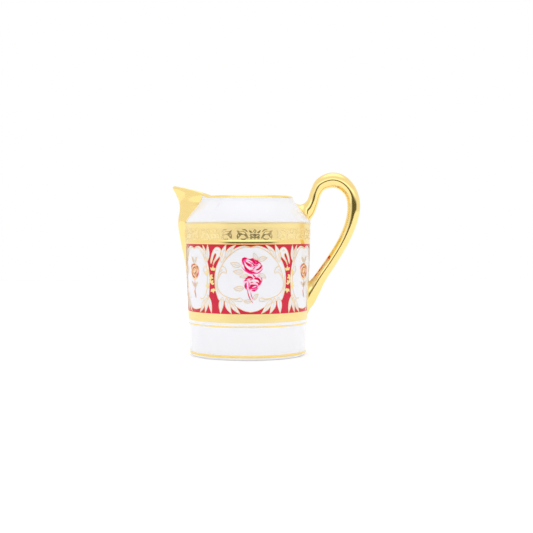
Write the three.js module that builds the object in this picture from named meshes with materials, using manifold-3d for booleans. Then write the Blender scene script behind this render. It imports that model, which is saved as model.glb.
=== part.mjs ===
// Porcelain cream jug: a slip-cast barrel body with a beak spout and a loop handle luted on with
// slip, and the gilded and painted bands fired over the glaze as thin skins.
// Millimetres, +Z up. The spout points to -X and the handle to +X, and the jug stands on Z = 0.
import * as THREE from 'three';
import { mergeVertices } from 'three/addons/utils/BufferGeometryUtils.js';
import Module from 'manifold-3d';

const wasm = await Module();
wasm.setup();

// ---------- driving dimensions ----------
const AXIS_X = -11.1;          // barrel axis, so that the origin lies under the middle of the jug
const ROUND_SEGMENTS = 48;     // facets around the barrel

const SHOULDER_RADIUS = 38.0;  // widest radius of the barrel, just under the shoulder
const SHOULDER_HEIGHT = 80.7;
const BARREL_TAPER = 2.6;      // the barrel is this much narrower at its base
const TAPER_POWER = 1.6;
const WALL = 2.6;              // thickness of the cast wall
const FLOOR_HEIGHT = 4.6;      // inside floor
const FOOT_RECESS = 1.8;       // hollow under the foot
const FOOT_INNER = 31.2;       // flat ring that the jug rests on
const FOOT_OUTER = 33.9;
const RIM_HEIGHT = 96.8;
const LIP_ROUND = 1.25;        // half the thickness of the rounded rim
const LIP_CENTRE = 26.35;      // radius at the middle of the rim
const RIM_STEP = 45;           // degrees between the points of the rounded rim

const SKIN_GAP = 0.05;         // glaze surface to the underside of a fired-on skin
const SKIN_TOP = 0.15;         // glaze surface to the outside of a skin
const JOINT_GAP = 0.3;         // clearance between pieces that are cut to fit each other
const SEAM_HEIGHT = 1.1;       // how far a slip seam stands off the wall
const SEAM_WIDTH = 1.0;        // how far a slip seam spreads around the joint

const FOOT_LINE = [1.6, 3.0];          // bottom and top of each fired-on band
const HAIRLINE = [19.55, 20.25];
const LOWER_BAND = [22.2, 27.4];
const PAINTED_BAND = [27.4, 68.0];
const FRIEZE_BAND = [68.0, 80.7];
const RIM_GILDING = [94.0, 95.3];      // lower edge inside the neck, and outside
const BAND_JOIN = 0.05;                // a skin stops this much short of its neighbour

const SPOUT_WALL = 2.1;
const CHANNEL_FLOOR = 82.5;
const ROOT_DEPTH = 8;          // how far the spout's blank reaches in behind the wall surface
const BELOW_JUG = -1;          // heights that cutting blocks reach, below and above the jug
const ABOVE_JUG = 130;
const CUTTER_WIDTH = 60;

const WHITE_GLAZE = { color: '#f2f2f4', roughness: 0.15, metalness: 0 };
const BRIGHT_GOLD = { color: '#e8c878', roughness: 0.14, metalness: 1 };
const ETCHED_GOLD = { color: '#d9b45c', roughness: 0.42, metalness: 1 };
const CRIMSON_ENAMEL = { color: '#c81c3e', roughness: 0.2, metalness: 0 };

// heights where the barrel wall changes direction or a band begins or ends
const BARREL_LEVELS = [
  ...FOOT_LINE, ...HAIRLINE, ...LOWER_BAND, 37.6, 47.8, 58.0, ...FRIEZE_BAND,
];

// shoulder and neck outside, as [radius, height], from the barrel's top edge to the rim
const SHOULDER = [[37.75, 82.0], [36.7, 84.3], [34.2, 87.4], [31.1, 90.8], [29.2, 92.7], [28.1, 94.3]];
// the same wall inside, from the neck down to the barrel
const INNER_SHOULDER = [[25.1, 93.0], [27.2, 90.9], [31.4, 86.7], [34.8, 82.2], [35.4, 79.6]];
// inside corner between barrel and floor
const INNER_HEEL = [[33.0, 10.0], [32.2, 7.0], [30.4, 5.2], [27.6, FLOOR_HEIGHT]];

// spout stations: [height, reach in front of the axis, half width]
const SPOUT_SIZES = [
  [44, 37.2, 1.0], [56, 38.9, 3.2], [67, 40.9, 5.6], [77, 42.6, 7.4], [82, 42.8, 7.6],
  [87.5, 42.1, 7.0], [92.5, 42.2, 6.8], [97.5, 43.8, 8.4], [102.2, 46.2, 10.8], [106, 48, 13],
];
// the same stations: [distance of the widest place from the axis, side power, nose power]
const SPOUT_FORMS = [
  [36.7, 2, 0.5], [37.3, 2, 0.5], [37.3, 2, 0.5], [37.1, 2, 0.5], [36.9, 2, 0.5],
  [33.5, 2, 0.5], [28.5, 2, 0.5], [26.9, 1.1, 0.6], [26.9, 0.65, 0.72], [26.9, 0.65, 0.72],
];
// top edge of the spout seen from the side: [distance from the axis, height]
const SPOUT_EDGE = [
  [52, 103.2], [46.2, 102.7], [41.5, 102.1], [37.5, 101.2], [34, 99.9], [30.8, 98.7],
  [28, 97.8], [18, 96.8],
];

// handle stations: [distance from the axis, height], and [half thickness, half width]
const HANDLE_PATH = [
  [31, 85], [35.6, 87.6], [39.3, 92.6], [41.6, 99.2], [45, 104.2], [51.5, 106.5], [57.8, 104.6],
  [62.8, 98.8], [64.6, 90.5], [62.9, 80.5], [58.3, 69.4], [51.7, 58.2], [44.8, 47.9], [39.8, 39.4],
  [35.6, 32], [29.5, 27.5],
];
const HANDLE_SIZES = [
  [6.5, 4.6], [5.4, 4.3], [3.6, 4.0], [3.4, 4.0], [4.2, 4.3], [4.7, 4.5], [4.5, 4.5],
  [4.0, 4.4], [3.9, 4.3], [3.6, 4.2], [3.4, 4.1], [3.5, 4.0], [3.8, 4.0], [4.6, 4.0],
  [5.4, 4.0], [7.0, 4.0],
];

// ---------- geometry helpers ----------
/** Signed volume of an indexed mesh: negative when its faces point in. */
function signedVolume(positions, corners) {
  const [a, b, c] = [new THREE.Vector3(), new THREE.Vector3(), new THREE.Vector3()];
  let volume = 0;
  for (let i = 0; i < corners.length; i += 3) {
    a.fromArray(positions, 3 * corners[i]);
    b.fromArray(positions, 3 * corners[i + 1]);
    c.fromArray(positions, 3 * corners[i + 2]);
    volume += a.dot(b.cross(c)) / 6;
  }
  return volume;
}

/** A manifold solid from a closed geometry, with its faces turned outwards. */
function solidOf(geometry) {
  geometry.deleteAttribute('normal');
  geometry.deleteAttribute('uv');
  const merged = mergeVertices(geometry, 1e-4);
  const positions = new Float32Array(merged.attributes.position.array);
  const index = merged.index.array;
  const corners = [];
  for (let i = 0; i < index.length; i += 3) {
    const [a, b, c] = [index[i], index[i + 1], index[i + 2]];
    if (a !== b && b !== c && c !== a) corners.push(a, b, c);
  }
  if (signedVolume(positions, corners) < 0) corners.reverse();
  return new wasm.Manifold(new wasm.Mesh({
    numProp: 3, vertProperties: positions, triVerts: new Uint32Array(corners),
  }));
}

/** A plain geometry from a manifold solid. */
function geometryOf(solid) {
  const mesh = solid.getMesh();
  const geometry = new THREE.BufferGeometry();
  geometry.setAttribute('position', new THREE.BufferAttribute(new Float32Array(mesh.vertProperties), 3));
  geometry.setIndex(new THREE.BufferAttribute(new Uint32Array(mesh.triVerts), 1));
  geometry.computeVertexNormals();
  return geometry;
}

/** A solid turned about the Z axis from a profile of [radius, height] points. */
function turned(profile) {
  const points = profile.map(([radius, height]) => new THREE.Vector2(radius, height));
  return solidOf(new THREE.LatheGeometry(points, ROUND_SEGMENTS).rotateX(Math.PI / 2));
}

/** A lofted solid: place(t, angle, fill) gives the point at share t along it, fill 0 at its core. */
function lofted(sides, steps, place) {
  const geometry = new THREE.CylinderGeometry(1, 1, 1, sides, steps);
  const position = geometry.attributes.position;
  for (let i = 0; i < position.count; i += 1) {
    const fill = Math.hypot(position.getX(i), position.getZ(i));
    const angle = fill > 0.5 ? Math.atan2(position.getX(i), position.getZ(i)) : 0;
    const point = place(position.getY(i) + 0.5, angle, fill > 0.5 ? 1 : 0);
    position.setXYZ(i, point.x, point.y, point.z);
  }
  return solidOf(geometry);
}

/** A smooth curve through rows of two or three numbers. */
function throughRows(rows) {
  return new THREE.CatmullRomCurve3(rows.map(([x, y, z = 0]) => new THREE.Vector3(x, y, z)));
}

// ---------- vessel ----------
/** Outside radius of the barrel at a height. */
function barrelRadius(height) {
  const down = Math.max(0, 1 - height / SHOULDER_HEIGHT);
  return SHOULDER_RADIUS - BARREL_TAPER * down ** TAPER_POWER;
}

/** Barrel wall between two heights, as [radius, height] points standing off the surface. */
function barrelWall(bottom, top, offset) {
  const levels = BARREL_LEVELS.filter((level) => level > bottom + 0.1 && level < top - 0.1);
  return [bottom, ...levels, top].map((level) => [barrelRadius(level) + offset, level]);
}

/** Rounded rim from its outside (0 degrees) to its inside (180 degrees). */
function rimRound(offset, firstDegrees, lastDegrees) {
  const points = [];
  for (let degrees = firstDegrees; degrees <= lastDegrees; degrees += RIM_STEP) {
    const angle = THREE.MathUtils.degToRad(degrees);
    const radius = LIP_ROUND + offset;
    const middle = RIM_HEIGHT - LIP_ROUND;
    points.push([LIP_CENTRE + radius * Math.cos(angle), middle + radius * Math.sin(angle)]);
  }
  return points;
}

/** Outside wall from the heel to the foot of the rim, standing off the surface. */
function outerWall(offset) {
  const shoulder = SHOULDER.map(([radius, height]) => [radius + offset, height + offset * 0.5]);
  return [...barrelWall(FOOT_LINE[0], SHOULDER_HEIGHT, offset), ...shoulder];
}

/** The hollow vessel, before the pouring channel is opened into it. */
function vesselBlank() {
  const innerBarrel = [58, 37.6, 20].map((height) => [barrelRadius(height) - WALL, height]);
  return turned([
    [0, FOOT_RECESS], [FOOT_INNER - 0.9, FOOT_RECESS], [FOOT_INNER, 0], [FOOT_OUTER, 0],
    [FOOT_OUTER + 1.0, 0.5], ...outerWall(0), [LIP_CENTRE + LIP_ROUND + 0.15, RIM_GILDING[1]],
    ...rimRound(0, 0, 180), ...INNER_SHOULDER, ...innerBarrel, ...INNER_HEEL, [0, FLOOR_HEIGHT],
  ]);
}

/** Everything inside the vessel's outer surface, grown by an offset and carried up past the rim. */
function vesselMass(offset) {
  const neck = LIP_CENTRE + LIP_ROUND + offset;
  const foot = FOOT_OUTER + offset;
  return turned([
    [0, BELOW_JUG], [foot, BELOW_JUG], ...outerWall(offset), [neck, RIM_HEIGHT], [neck, ABOVE_JUG],
    [0, ABOVE_JUG],
  ]);
}

/** A fired-on skin around the barrel between two heights. */
function barrelSkin(bottom, top) {
  const outside = barrelWall(bottom, top, SKIN_TOP);
  const inside = barrelWall(bottom, top, SKIN_GAP).reverse();
  return turned([...outside, ...inside, outside[0]]);
}

/** Gilding over the rounded rim, from outside the neck to a little way inside it. */
function rimSkin() {
  const [insideEdge, outsideEdge] = RIM_GILDING;
  const layer = (offset) => [
    [LIP_CENTRE + LIP_ROUND + 0.15 + offset, outsideEdge],
    ...rimRound(offset, 0, 180),
    [LIP_CENTRE - LIP_ROUND - offset, insideEdge],
  ];
  const outside = layer(SKIN_TOP);
  return turned([...outside, ...layer(SKIN_GAP).reverse(), outside[0]]);
}

// ---------- spout ----------
const spoutSizes = throughRows(SPOUT_SIZES);
const spoutForms = throughRows(SPOUT_FORMS);

/** Point on a spout section: angle 0 is the nose of the beak and pi its hidden root. */
function spoutPoint(t, angle, fill, inset) {
  const { x: height, y: reach, z: halfWidth } = spoutSizes.getPoint(t);
  const { x: widest, y: sidePower, z: nosePower } = spoutForms.getPoint(t);
  const along = Math.cos(angle);
  const width = Math.max(0.2, halfWidth - inset) * Math.sign(Math.sin(angle)) * fill;
  if (along >= 0) {
    const nose = (reach - inset - widest) * along * fill;
    const share = Math.max(0, 1 - along ** sidePower) ** nosePower;
    return new THREE.Vector3(-(widest + nose), width * share, height);
  }
  const share = Math.sqrt(1 - along ** 4);
  return new THREE.Vector3(-(widest + ROOT_DEPTH * along * fill), width * share, height);
}

/** Solid blank of the spout, or of its channel when the inset is positive. */
function spoutBlank(inset, firstShare, steps) {
  return lofted(24, steps, (t, angle, fill) => {
    const share = firstShare + (1 - firstShare) * t;
    return spoutPoint(share, angle, fill, inset);
  });
}

/** Share along the spout where it reaches a height. */
function spoutShareAt(height) {
  let [low, high] = [0, 1];
  while (high - low > 1e-4) {
    const middle = (low + high) / 2;
    if (spoutSizes.getPoint(middle).x < height) low = middle;
    else high = middle;
  }
  return low;
}

/** Block above the rising edge of the spout. */
function aboveSpoutEdge() {
  const outline = new THREE.Shape(SPOUT_EDGE.map(([reach, height]) => new THREE.Vector2(-reach, height)));
  outline.lineTo(-SPOUT_EDGE.at(-1)[0], ABOVE_JUG);
  outline.lineTo(-SPOUT_EDGE[0][0], ABOVE_JUG);
  const block = new THREE.ExtrudeGeometry(outline, { depth: CUTTER_WIDTH, bevelEnabled: false });
  return solidOf(block.translate(0, 0, -CUTTER_WIDTH / 2).rotateX(Math.PI / 2));
}

// ---------- handle ----------
const handlePath = throughRows(HANDLE_PATH.map(([x, z]) => [x, 0, z]));
const handleSizes = throughRows(HANDLE_SIZES);

/** Solid blank of the handle, grown by an offset. */
function handleBlank(offset) {
  return lofted(16, 40, (t, angle, fill) => {
    const point = handlePath.getPoint(t);
    const along = handlePath.getTangent(t);
    const size = handleSizes.getPoint(t);
    const outward = new THREE.Vector3(along.z, 0, -along.x);
    point.addScaledVector(outward, (size.x + offset) * Math.cos(angle) * fill);
    point.y += (size.y + offset) * Math.sin(angle) * fill;
    return point;
  });
}

/** A shell of slip standing off the wall between two heights. */
function slipShell(bottom, top) {
  const within = ([, height]) => height >= bottom && height <= top;
  const inside = outerWall(JOINT_GAP).filter(within).reverse();
  const outside = outerWall(SEAM_HEIGHT).filter(within);
  return turned([...outside, ...inside, outside[0]]);
}

// ---------- pieces ----------
const massToFit = vesselMass(JOINT_GAP);
const channel = spoutBlank(SPOUT_WALL, spoutShareAt(CHANNEL_FLOOR), 9);
const spoutClearance = spoutBlank(-JOINT_GAP, 0, 18);
const handleClearance = handleBlank(JOINT_GAP);

const body = vesselBlank().subtract(channel);
const spout = spoutBlank(0, 0, 18).subtract(massToFit).subtract(channel).subtract(aboveSpoutEdge());
const handle = handleBlank(0).subtract(massToFit);

const spoutSpread = spoutBlank(-SEAM_WIDTH, 0, 18);
const handleSpread = handleBlank(SEAM_WIDTH);
const spoutSeam = slipShell(45, 93).intersect(spoutSpread).subtract(spoutClearance);
const upperSeam = slipShell(78, 96).intersect(handleSpread).subtract(handleClearance);
const lowerSeam = slipShell(18, 60).intersect(handleSpread).subtract(handleClearance);

const painted = barrelSkin(PAINTED_BAND[0] + BAND_JOIN, PAINTED_BAND[1] - BAND_JOIN);
const frieze = barrelSkin(FRIEZE_BAND[0] + BAND_JOIN, FRIEZE_BAND[1] - BAND_JOIN);
const lowerBand = barrelSkin(LOWER_BAND[0], LOWER_BAND[1] - BAND_JOIN);

const jug = new THREE.Group();
jug.position.x = AXIS_X;

/** Add one named piece with its own material to the jug. */
function addPiece(name, solid, finish) {
  const mesh = new THREE.Mesh(geometryOf(solid), new THREE.MeshStandardMaterial(finish));
  mesh.name = name;
  jug.add(mesh);
}

addPiece('jug_body', body, WHITE_GLAZE);
addPiece('spout', spout, BRIGHT_GOLD);
addPiece('handle', handle, BRIGHT_GOLD);
addPiece('spout_slip_seam', spoutSeam, BRIGHT_GOLD);
addPiece('upper_handle_slip_seam', upperSeam, BRIGHT_GOLD);
addPiece('lower_handle_slip_seam', lowerSeam, BRIGHT_GOLD);
addPiece('rim_gilding', rimSkin().subtract(spoutClearance), BRIGHT_GOLD);
addPiece('gold_frieze_band', frieze.subtract(spoutClearance), ETCHED_GOLD);
addPiece('painted_band', painted.subtract(spoutClearance).subtract(handleClearance), CRIMSON_ENAMEL);
addPiece('lower_gold_band', lowerBand.subtract(handleClearance), BRIGHT_GOLD);
addPiece('gold_hairline', barrelSkin(...HAIRLINE), BRIGHT_GOLD);
addPiece('foot_gold_line', barrelSkin(...FOOT_LINE), BRIGHT_GOLD);

const model = new THREE.Group();
model.add(jug);
export default model;
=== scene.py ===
"""Porcelain cream jug: the fine surface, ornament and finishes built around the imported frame.

The vessel is one turned and modelled porcelain body. The gilded spout, the bands and the rim are
peeled from its surface, and the painted and etched ornament is drawn flat and wrapped round it.
All shapes are worked out in millimetres about the barrel axis, and each finished piece is scaled
to metres and set on that axis.
"""

from __future__ import annotations

import logging
import math
from collections.abc import Callable, Iterable, Sequence
from dataclasses import dataclass, field
from enum import Enum

import bmesh
import bpy
from mathutils import Matrix, Vector


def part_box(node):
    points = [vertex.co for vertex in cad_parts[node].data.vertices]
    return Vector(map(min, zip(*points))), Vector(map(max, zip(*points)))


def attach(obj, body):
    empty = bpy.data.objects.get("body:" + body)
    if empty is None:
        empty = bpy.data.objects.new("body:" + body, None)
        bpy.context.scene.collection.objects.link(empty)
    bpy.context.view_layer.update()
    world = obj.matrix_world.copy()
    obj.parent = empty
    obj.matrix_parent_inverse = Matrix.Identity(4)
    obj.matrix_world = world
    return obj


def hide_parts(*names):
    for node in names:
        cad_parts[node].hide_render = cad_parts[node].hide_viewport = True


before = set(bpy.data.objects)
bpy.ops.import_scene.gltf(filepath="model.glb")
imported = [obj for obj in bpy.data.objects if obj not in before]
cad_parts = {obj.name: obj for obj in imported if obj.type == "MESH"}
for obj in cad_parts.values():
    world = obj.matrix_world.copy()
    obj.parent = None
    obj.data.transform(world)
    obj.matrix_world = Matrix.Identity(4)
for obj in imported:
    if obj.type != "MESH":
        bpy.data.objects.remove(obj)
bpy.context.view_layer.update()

LOG = logging.getLogger("cream_jug")
MM = 0.001
BARREL_SCALE = 37.5     # millimetres of ornament per radian round the barrel
SPOUT_AZIMUTH = 270.0   # degrees from -Y towards +X
SPOUT_GAP = 0.45        # millimetres left between the ornament and the spout
RESERVE_LIFT = 0.075    # millimetres that each layer of the ornament stands off the glaze
PEN_LIFT = 0.105
ROSE_LIFT = 0.11
RELIEF_LIFT = 0.12
Point = tuple[float, float]
Path = Sequence[Point]


# --------------------------------------------------------------------------- small tools
def srgb(code: str) -> tuple[float, float, float, float]:
    """Turn an sRGB hex colour to linear light.

    Args:
        code: six hex digits after a hash sign.

    Returns:
        Linear red, green, blue and an alpha of 1.
    """
    shares = [int(code[i : i + 2], 16) / 255 for i in (1, 3, 5)]
    linear = [s / 12.92 if s <= 0.04045 else ((s + 0.055) / 1.055) ** 2.4 for s in shares]
    return (*linear, 1.0)


def add_node(
    tree: bpy.types.NodeTree,
    kind: str,
    links: dict[str, bpy.types.NodeSocket] | None = None,
    values: dict[str, object] | None = None,
    **settings: object,
) -> bpy.types.Node:
    """Add one node with its settings, socket values and incoming links.

    Args:
        tree: the node tree to add to.
        kind: the node's type name.
        links: input socket name to the output socket that feeds it.
        values: input socket name to its fixed value.
        settings: properties of the node itself.

    Returns:
        The new node.
    """
    node = tree.nodes.new(kind)
    for name, value in settings.items():
        setattr(node, name, value)
    for name, value in (values or {}).items():
        node.inputs[name].default_value = value
    for name, source in (links or {}).items():
        tree.links.new(source, node.inputs[name])
    return node


def smoothstep(low: float, high: float, value: float) -> float:
    """Share from 0 at low to 1 at high, easing at both ends."""
    share = min(1.0, max(0.0, (value - low) / (high - low)))
    return share * share * (3 - 2 * share)


def lerp(a: float, b: float, share: float) -> float:
    """Value at a share of the way from a to b."""
    return a + (b - a) * share


class Table:
    """A smooth curve through rows of (position, value), flat past both ends."""

    def __init__(self, rows: Sequence[Point]) -> None:
        """Keep the rows and work out the slope at each."""
        self.rows = list(rows)
        last = len(rows) - 1
        self.slopes = []
        for i in range(len(rows)):
            (x0, y0), (x1, y1) = rows[max(0, i - 1)], rows[min(last, i + 1)]
            self.slopes.append((y1 - y0) / (x1 - x0))

    def __call__(self, x: float) -> float:
        """Value at a position."""
        if x <= self.rows[0][0]:
            return self.rows[0][1]
        if x >= self.rows[-1][0]:
            return self.rows[-1][1]
        i = next(k for k in range(len(self.rows) - 1) if x <= self.rows[k + 1][0])
        (x0, y0), (x1, y1) = self.rows[i], self.rows[i + 1]
        step = x1 - x0
        t = (x - x0) / step
        rise = t * t * (3 - 2 * t)
        start, end = t * (1 - t) ** 2, t * t * (t - 1)
        return y0 + (y1 - y0) * rise + step * (start * self.slopes[i] + end * self.slopes[i + 1])


def spline_weights(t: float) -> tuple[float, float, float, float]:
    """Shares of four points in a row on the smooth curve between the middle two, at t from 0 to 1."""
    return (
        -0.5 * t + t * t - 0.5 * t**3,
        1 - 2.5 * t * t + 1.5 * t**3,
        0.5 * t + 2 * t * t - 1.5 * t**3,
        -0.5 * t * t + 0.5 * t**3,
    )


def flowing(points: Path, spacing: float, closed: bool = False, steps: int = 0) -> list[Point]:
    """Points along the smooth curve through given ones.

    Args:
        points: what the curve passes through.
        spacing: distance between the points taken on it, in millimetres.
        closed: whether the curve meets its start.
        steps: how many parts each span gets, in place of a spacing.

    Returns:
        The points, with both ends if the curve is open.
    """
    count = len(points)
    out: list[Point] = []
    for i in range(count if closed else count - 1):
        four = [points[k % count if closed else min(max(k, 0), count - 1)] for k in range(i - 1, i + 3)]
        parts = steps or max(1, round(math.dist(four[1], four[2]) / spacing))
        for k in range(parts):
            weights = spline_weights(k / parts)
            out.append(tuple(sum(w * p[axis] for w, p in zip(weights, four)) for axis in (0, 1)))
    if not closed:
        out.append(tuple(points[-1]))
    return out


# --------------------------------------------------------------------------- finishes
class Enamel(Enum):
    """Fired colours of the hand-painted ornament, as sRGB."""

    CRIMSON = "#cd0836"
    WHITE = "#ebebf0"
    ROSE_DEEP = "#dc0052"
    ROSE_MID = "#f0489a"
    ROSE_LIGHT = "#fbd0e4"
    OCHRE_DEEP = "#c2683a"
    OCHRE_MID = "#dfa070"
    OCHRE_LIGHT = "#f0d2aa"


@dataclass(frozen=True)
class GlazedPorcelain:
    """Hard-paste porcelain, slip-cast and dipped in clear glaze: white, even and mirror-smooth."""

    colour: str = "#ebebf0"
    cloud_colour: str = "#eeeef2"
    roughness: float = 0.13
    ripple_mm: float = 9.0

    def material(self) -> bpy.types.Material:
        """Build the glaze: a slow ripple in the gloss and a hardly seen cloud in the white."""
        mat = bpy.data.materials.new("glazed_hard_paste_porcelain")
        mat.use_nodes = True
        tree = mat.node_tree
        shader = tree.nodes["Principled BSDF"]
        place = add_node(tree, "ShaderNodeTexCoord")
        cloud = add_node(
            tree, "ShaderNodeTexNoise", {"Vector": place.outputs["Object"]},
            {"Scale": 1 / (3 * self.ripple_mm * MM), "Detail": 2.0},
        )
        tint = add_node(
            tree, "ShaderNodeMix", {"Factor": cloud.outputs["Fac"]}, data_type="RGBA",
        )
        tint.inputs["A"].default_value = srgb(self.colour)
        tint.inputs["B"].default_value = srgb(self.cloud_colour)
        ripple = add_node(
            tree, "ShaderNodeTexNoise", {"Vector": place.outputs["Object"]},
            {"Scale": 1 / (self.ripple_mm * MM), "Detail": 1.0},
        )
        bump = add_node(
            tree, "ShaderNodeBump", {"Height": ripple.outputs["Fac"]},
            {"Strength": 0.12, "Distance": 0.05 * MM},
        )
        tree.links.new(tint.outputs["Result"], shader.inputs["Base Color"])
        tree.links.new(bump.outputs["Normal"], shader.inputs["Normal"])
        shader.inputs["Roughness"].default_value = self.roughness
        shader.inputs["IOR"].default_value = 1.5
        return mat


@dataclass(frozen=True)
class BiscuitPorcelain:
    """Unglazed fired porcelain, as on a wiped foot ring: dry, matte and faintly grainy."""

    colour: str = "#e9e5dd"
    grain_mm: float = 0.5

    def material(self) -> bpy.types.Material:
        """Build the biscuit with its fine grain."""
        mat = bpy.data.materials.new("unglazed_biscuit_porcelain")
        mat.use_nodes = True
        tree = mat.node_tree
        shader = tree.nodes["Principled BSDF"]
        place = add_node(tree, "ShaderNodeTexCoord")
        grain = add_node(
            tree, "ShaderNodeTexNoise", {"Vector": place.outputs["Object"]},
            {"Scale": 1 / (self.grain_mm * MM), "Detail": 3.0},
        )
        bump = add_node(
            tree, "ShaderNodeBump", {"Height": grain.outputs["Fac"]},
            {"Strength": 0.4, "Distance": 0.05 * MM},
        )
        tree.links.new(bump.outputs["Normal"], shader.inputs["Normal"])
        shader.inputs["Base Color"].default_value = srgb(self.colour)
        shader.inputs["Roughness"].default_value = 0.75
        return mat


@dataclass(frozen=True)
class FiredGold:
    """Liquid gold fired on over the glaze.

    Burnished gold mirrors its surroundings with the faint streaks of the brush. Etched gold has a
    grain bitten into the glaze below it, so that it glitters softly.
    """

    name: str
    colour: str
    worn_colour: str
    roughness: tuple[float, float]
    grain_mm: float
    grain_depth_mm: float
    streak: float = 1.0

    def material(self) -> bpy.types.Material:
        """Build the gold: brushed colour and gloss, and the grain of the surface under it."""
        mat = bpy.data.materials.new(self.name)
        mat.use_nodes = True
        tree = mat.node_tree
        shader = tree.nodes["Principled BSDF"]
        place = add_node(tree, "ShaderNodeTexCoord")
        stretch = add_node(
            tree, "ShaderNodeMapping", {"Vector": place.outputs["Object"]},
            {"Scale": (1.0, 1.0, self.streak)},
        )
        brush = add_node(
            tree, "ShaderNodeTexNoise", {"Vector": stretch.outputs["Vector"]},
            {"Scale": 1 / (7 * MM), "Detail": 4.0},
        )
        tint = add_node(tree, "ShaderNodeMix", {"Factor": brush.outputs["Fac"]}, data_type="RGBA")
        tint.inputs["A"].default_value = srgb(self.colour)
        tint.inputs["B"].default_value = srgb(self.worn_colour)
        gloss = add_node(
            tree, "ShaderNodeMapRange", {"Value": brush.outputs["Fac"]},
            {"To Min": self.roughness[0], "To Max": self.roughness[1]},
        )
        grain = add_node(
            tree, "ShaderNodeTexNoise", {"Vector": place.outputs["Object"]},
            {"Scale": 1 / (self.grain_mm * MM), "Detail": 2.0},
        )
        bump = add_node(
            tree, "ShaderNodeBump", {"Height": grain.outputs["Fac"]},
            {"Strength": 1.0, "Distance": self.grain_depth_mm * MM},
        )
        tree.links.new(tint.outputs["Result"], shader.inputs["Base Color"])
        tree.links.new(gloss.outputs["Result"], shader.inputs["Roughness"])
        tree.links.new(bump.outputs["Normal"], shader.inputs["Normal"])
        shader.inputs["Metallic"].default_value = 1.0
        return mat


@dataclass(frozen=True)
class OverglazeEnamel:
    """Lead-glass enamel brushed over the glaze and fired: glossy, and deeper where it pooled."""

    tone: Enamel
    pooling: float = 0.14
    stroke_mm: float = 2.2
    gloss_level: float = 0.12

    def material(self) -> bpy.types.Material:
        """Build the enamel with its brush pooling."""
        mat = bpy.data.materials.new(f"overglaze_enamel_{self.tone.name.lower()}")
        mat.use_nodes = True
        tree = mat.node_tree
        shader = tree.nodes["Principled BSDF"]
        place = add_node(tree, "ShaderNodeTexCoord")
        pool = add_node(
            tree, "ShaderNodeTexNoise", {"Vector": place.outputs["Object"]},
            {"Scale": 1 / (self.stroke_mm * MM), "Detail": 3.0},
        )
        base = srgb(self.tone.value)
        tint = add_node(tree, "ShaderNodeMix", {"Factor": pool.outputs["Fac"]}, data_type="RGBA")
        tint.inputs["A"].default_value = tuple(c * (1 - self.pooling) for c in base[:3]) + (1.0,)
        tint.inputs["B"].default_value = tuple(min(1, c * (1 + self.pooling)) for c in base[:3]) + (1.0,)
        bump = add_node(
            tree, "ShaderNodeBump", {"Height": pool.outputs["Fac"]},
            {"Strength": 0.25, "Distance": 0.04 * MM},
        )
        tree.links.new(tint.outputs["Result"], shader.inputs["Base Color"])
        tree.links.new(bump.outputs["Normal"], shader.inputs["Normal"])
        shader.inputs["Roughness"].default_value = 0.18
        shader.inputs["Specular IOR Level"].default_value = self.gloss_level
        return mat


class Finishes:
    """Every finish of the jug, each built once and shared by the pieces that wear it."""

    def __init__(self) -> None:
        """Build the materials."""
        self.porcelain = GlazedPorcelain().material()
        self.biscuit = BiscuitPorcelain().material()
        # burnished with agate: a deep warm mirror with faint brush streaks along the turning
        self.burnished = FiredGold(
            "burnished_fired_gold", "#fae09a", "#f4d88c", (0.07, 0.13), 2.5, 0.006, 3.0,
        ).material()
        # left as it leaves the kiln: a soft satin sheen without sharp reflections
        self.border = FiredGold(
            "satin_gold_border", "#f2de9f", "#edd692", (0.26, 0.36), 2.0, 0.012, 6.0,
        ).material()
        # gold over glaze eaten by acid: a pale grainy ground that glitters a little; the real grain
        # is about a fifth of this, and it is drawn coarser so that it shows
        self.etched = FiredGold(
            "acid_etched_gold_ground", "#f6e2a8", "#efd797", (0.46, 0.58), 0.55, 0.06,
        ).material()
        # the tops that the acid spared, burnished: small mirrors, dark or bright as one turns the jug
        self.relief = FiredGold(
            "polished_gold_relief", "#fdeab0", "#f8dfa0", (0.12, 0.20), 1.2, 0.006,
        ).material()
        # thin gold from a pen: light, matte and nearly the tone of straw
        self.gold_line = FiredGold(
            "pen_drawn_gold_line", "#f3dcb6", "#e6c690", (0.42, 0.55), 0.8, 0.01,
        ).material()
        # gold laid from a loaded brush on the banding wheel: fuller in tone, with a mild gloss
        self.thin_line = FiredGold(
            "wheel_banded_gold_line", "#f8dd90", "#f0d07c", (0.2, 0.3), 1.5, 0.01, 4.0,
        ).material()
        self.enamels = {tone: OverglazeEnamel(tone).material() for tone in Enamel}
        # the large fields lie evenly and shine more than the brush strokes do
        self.enamels[Enamel.WHITE] = OverglazeEnamel(Enamel.WHITE, 0.008, 4.0, 0.4).material()
        self.enamels[Enamel.CRIMSON] = OverglazeEnamel(Enamel.CRIMSON, 0.14, 2.2, 0.4).material()


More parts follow.
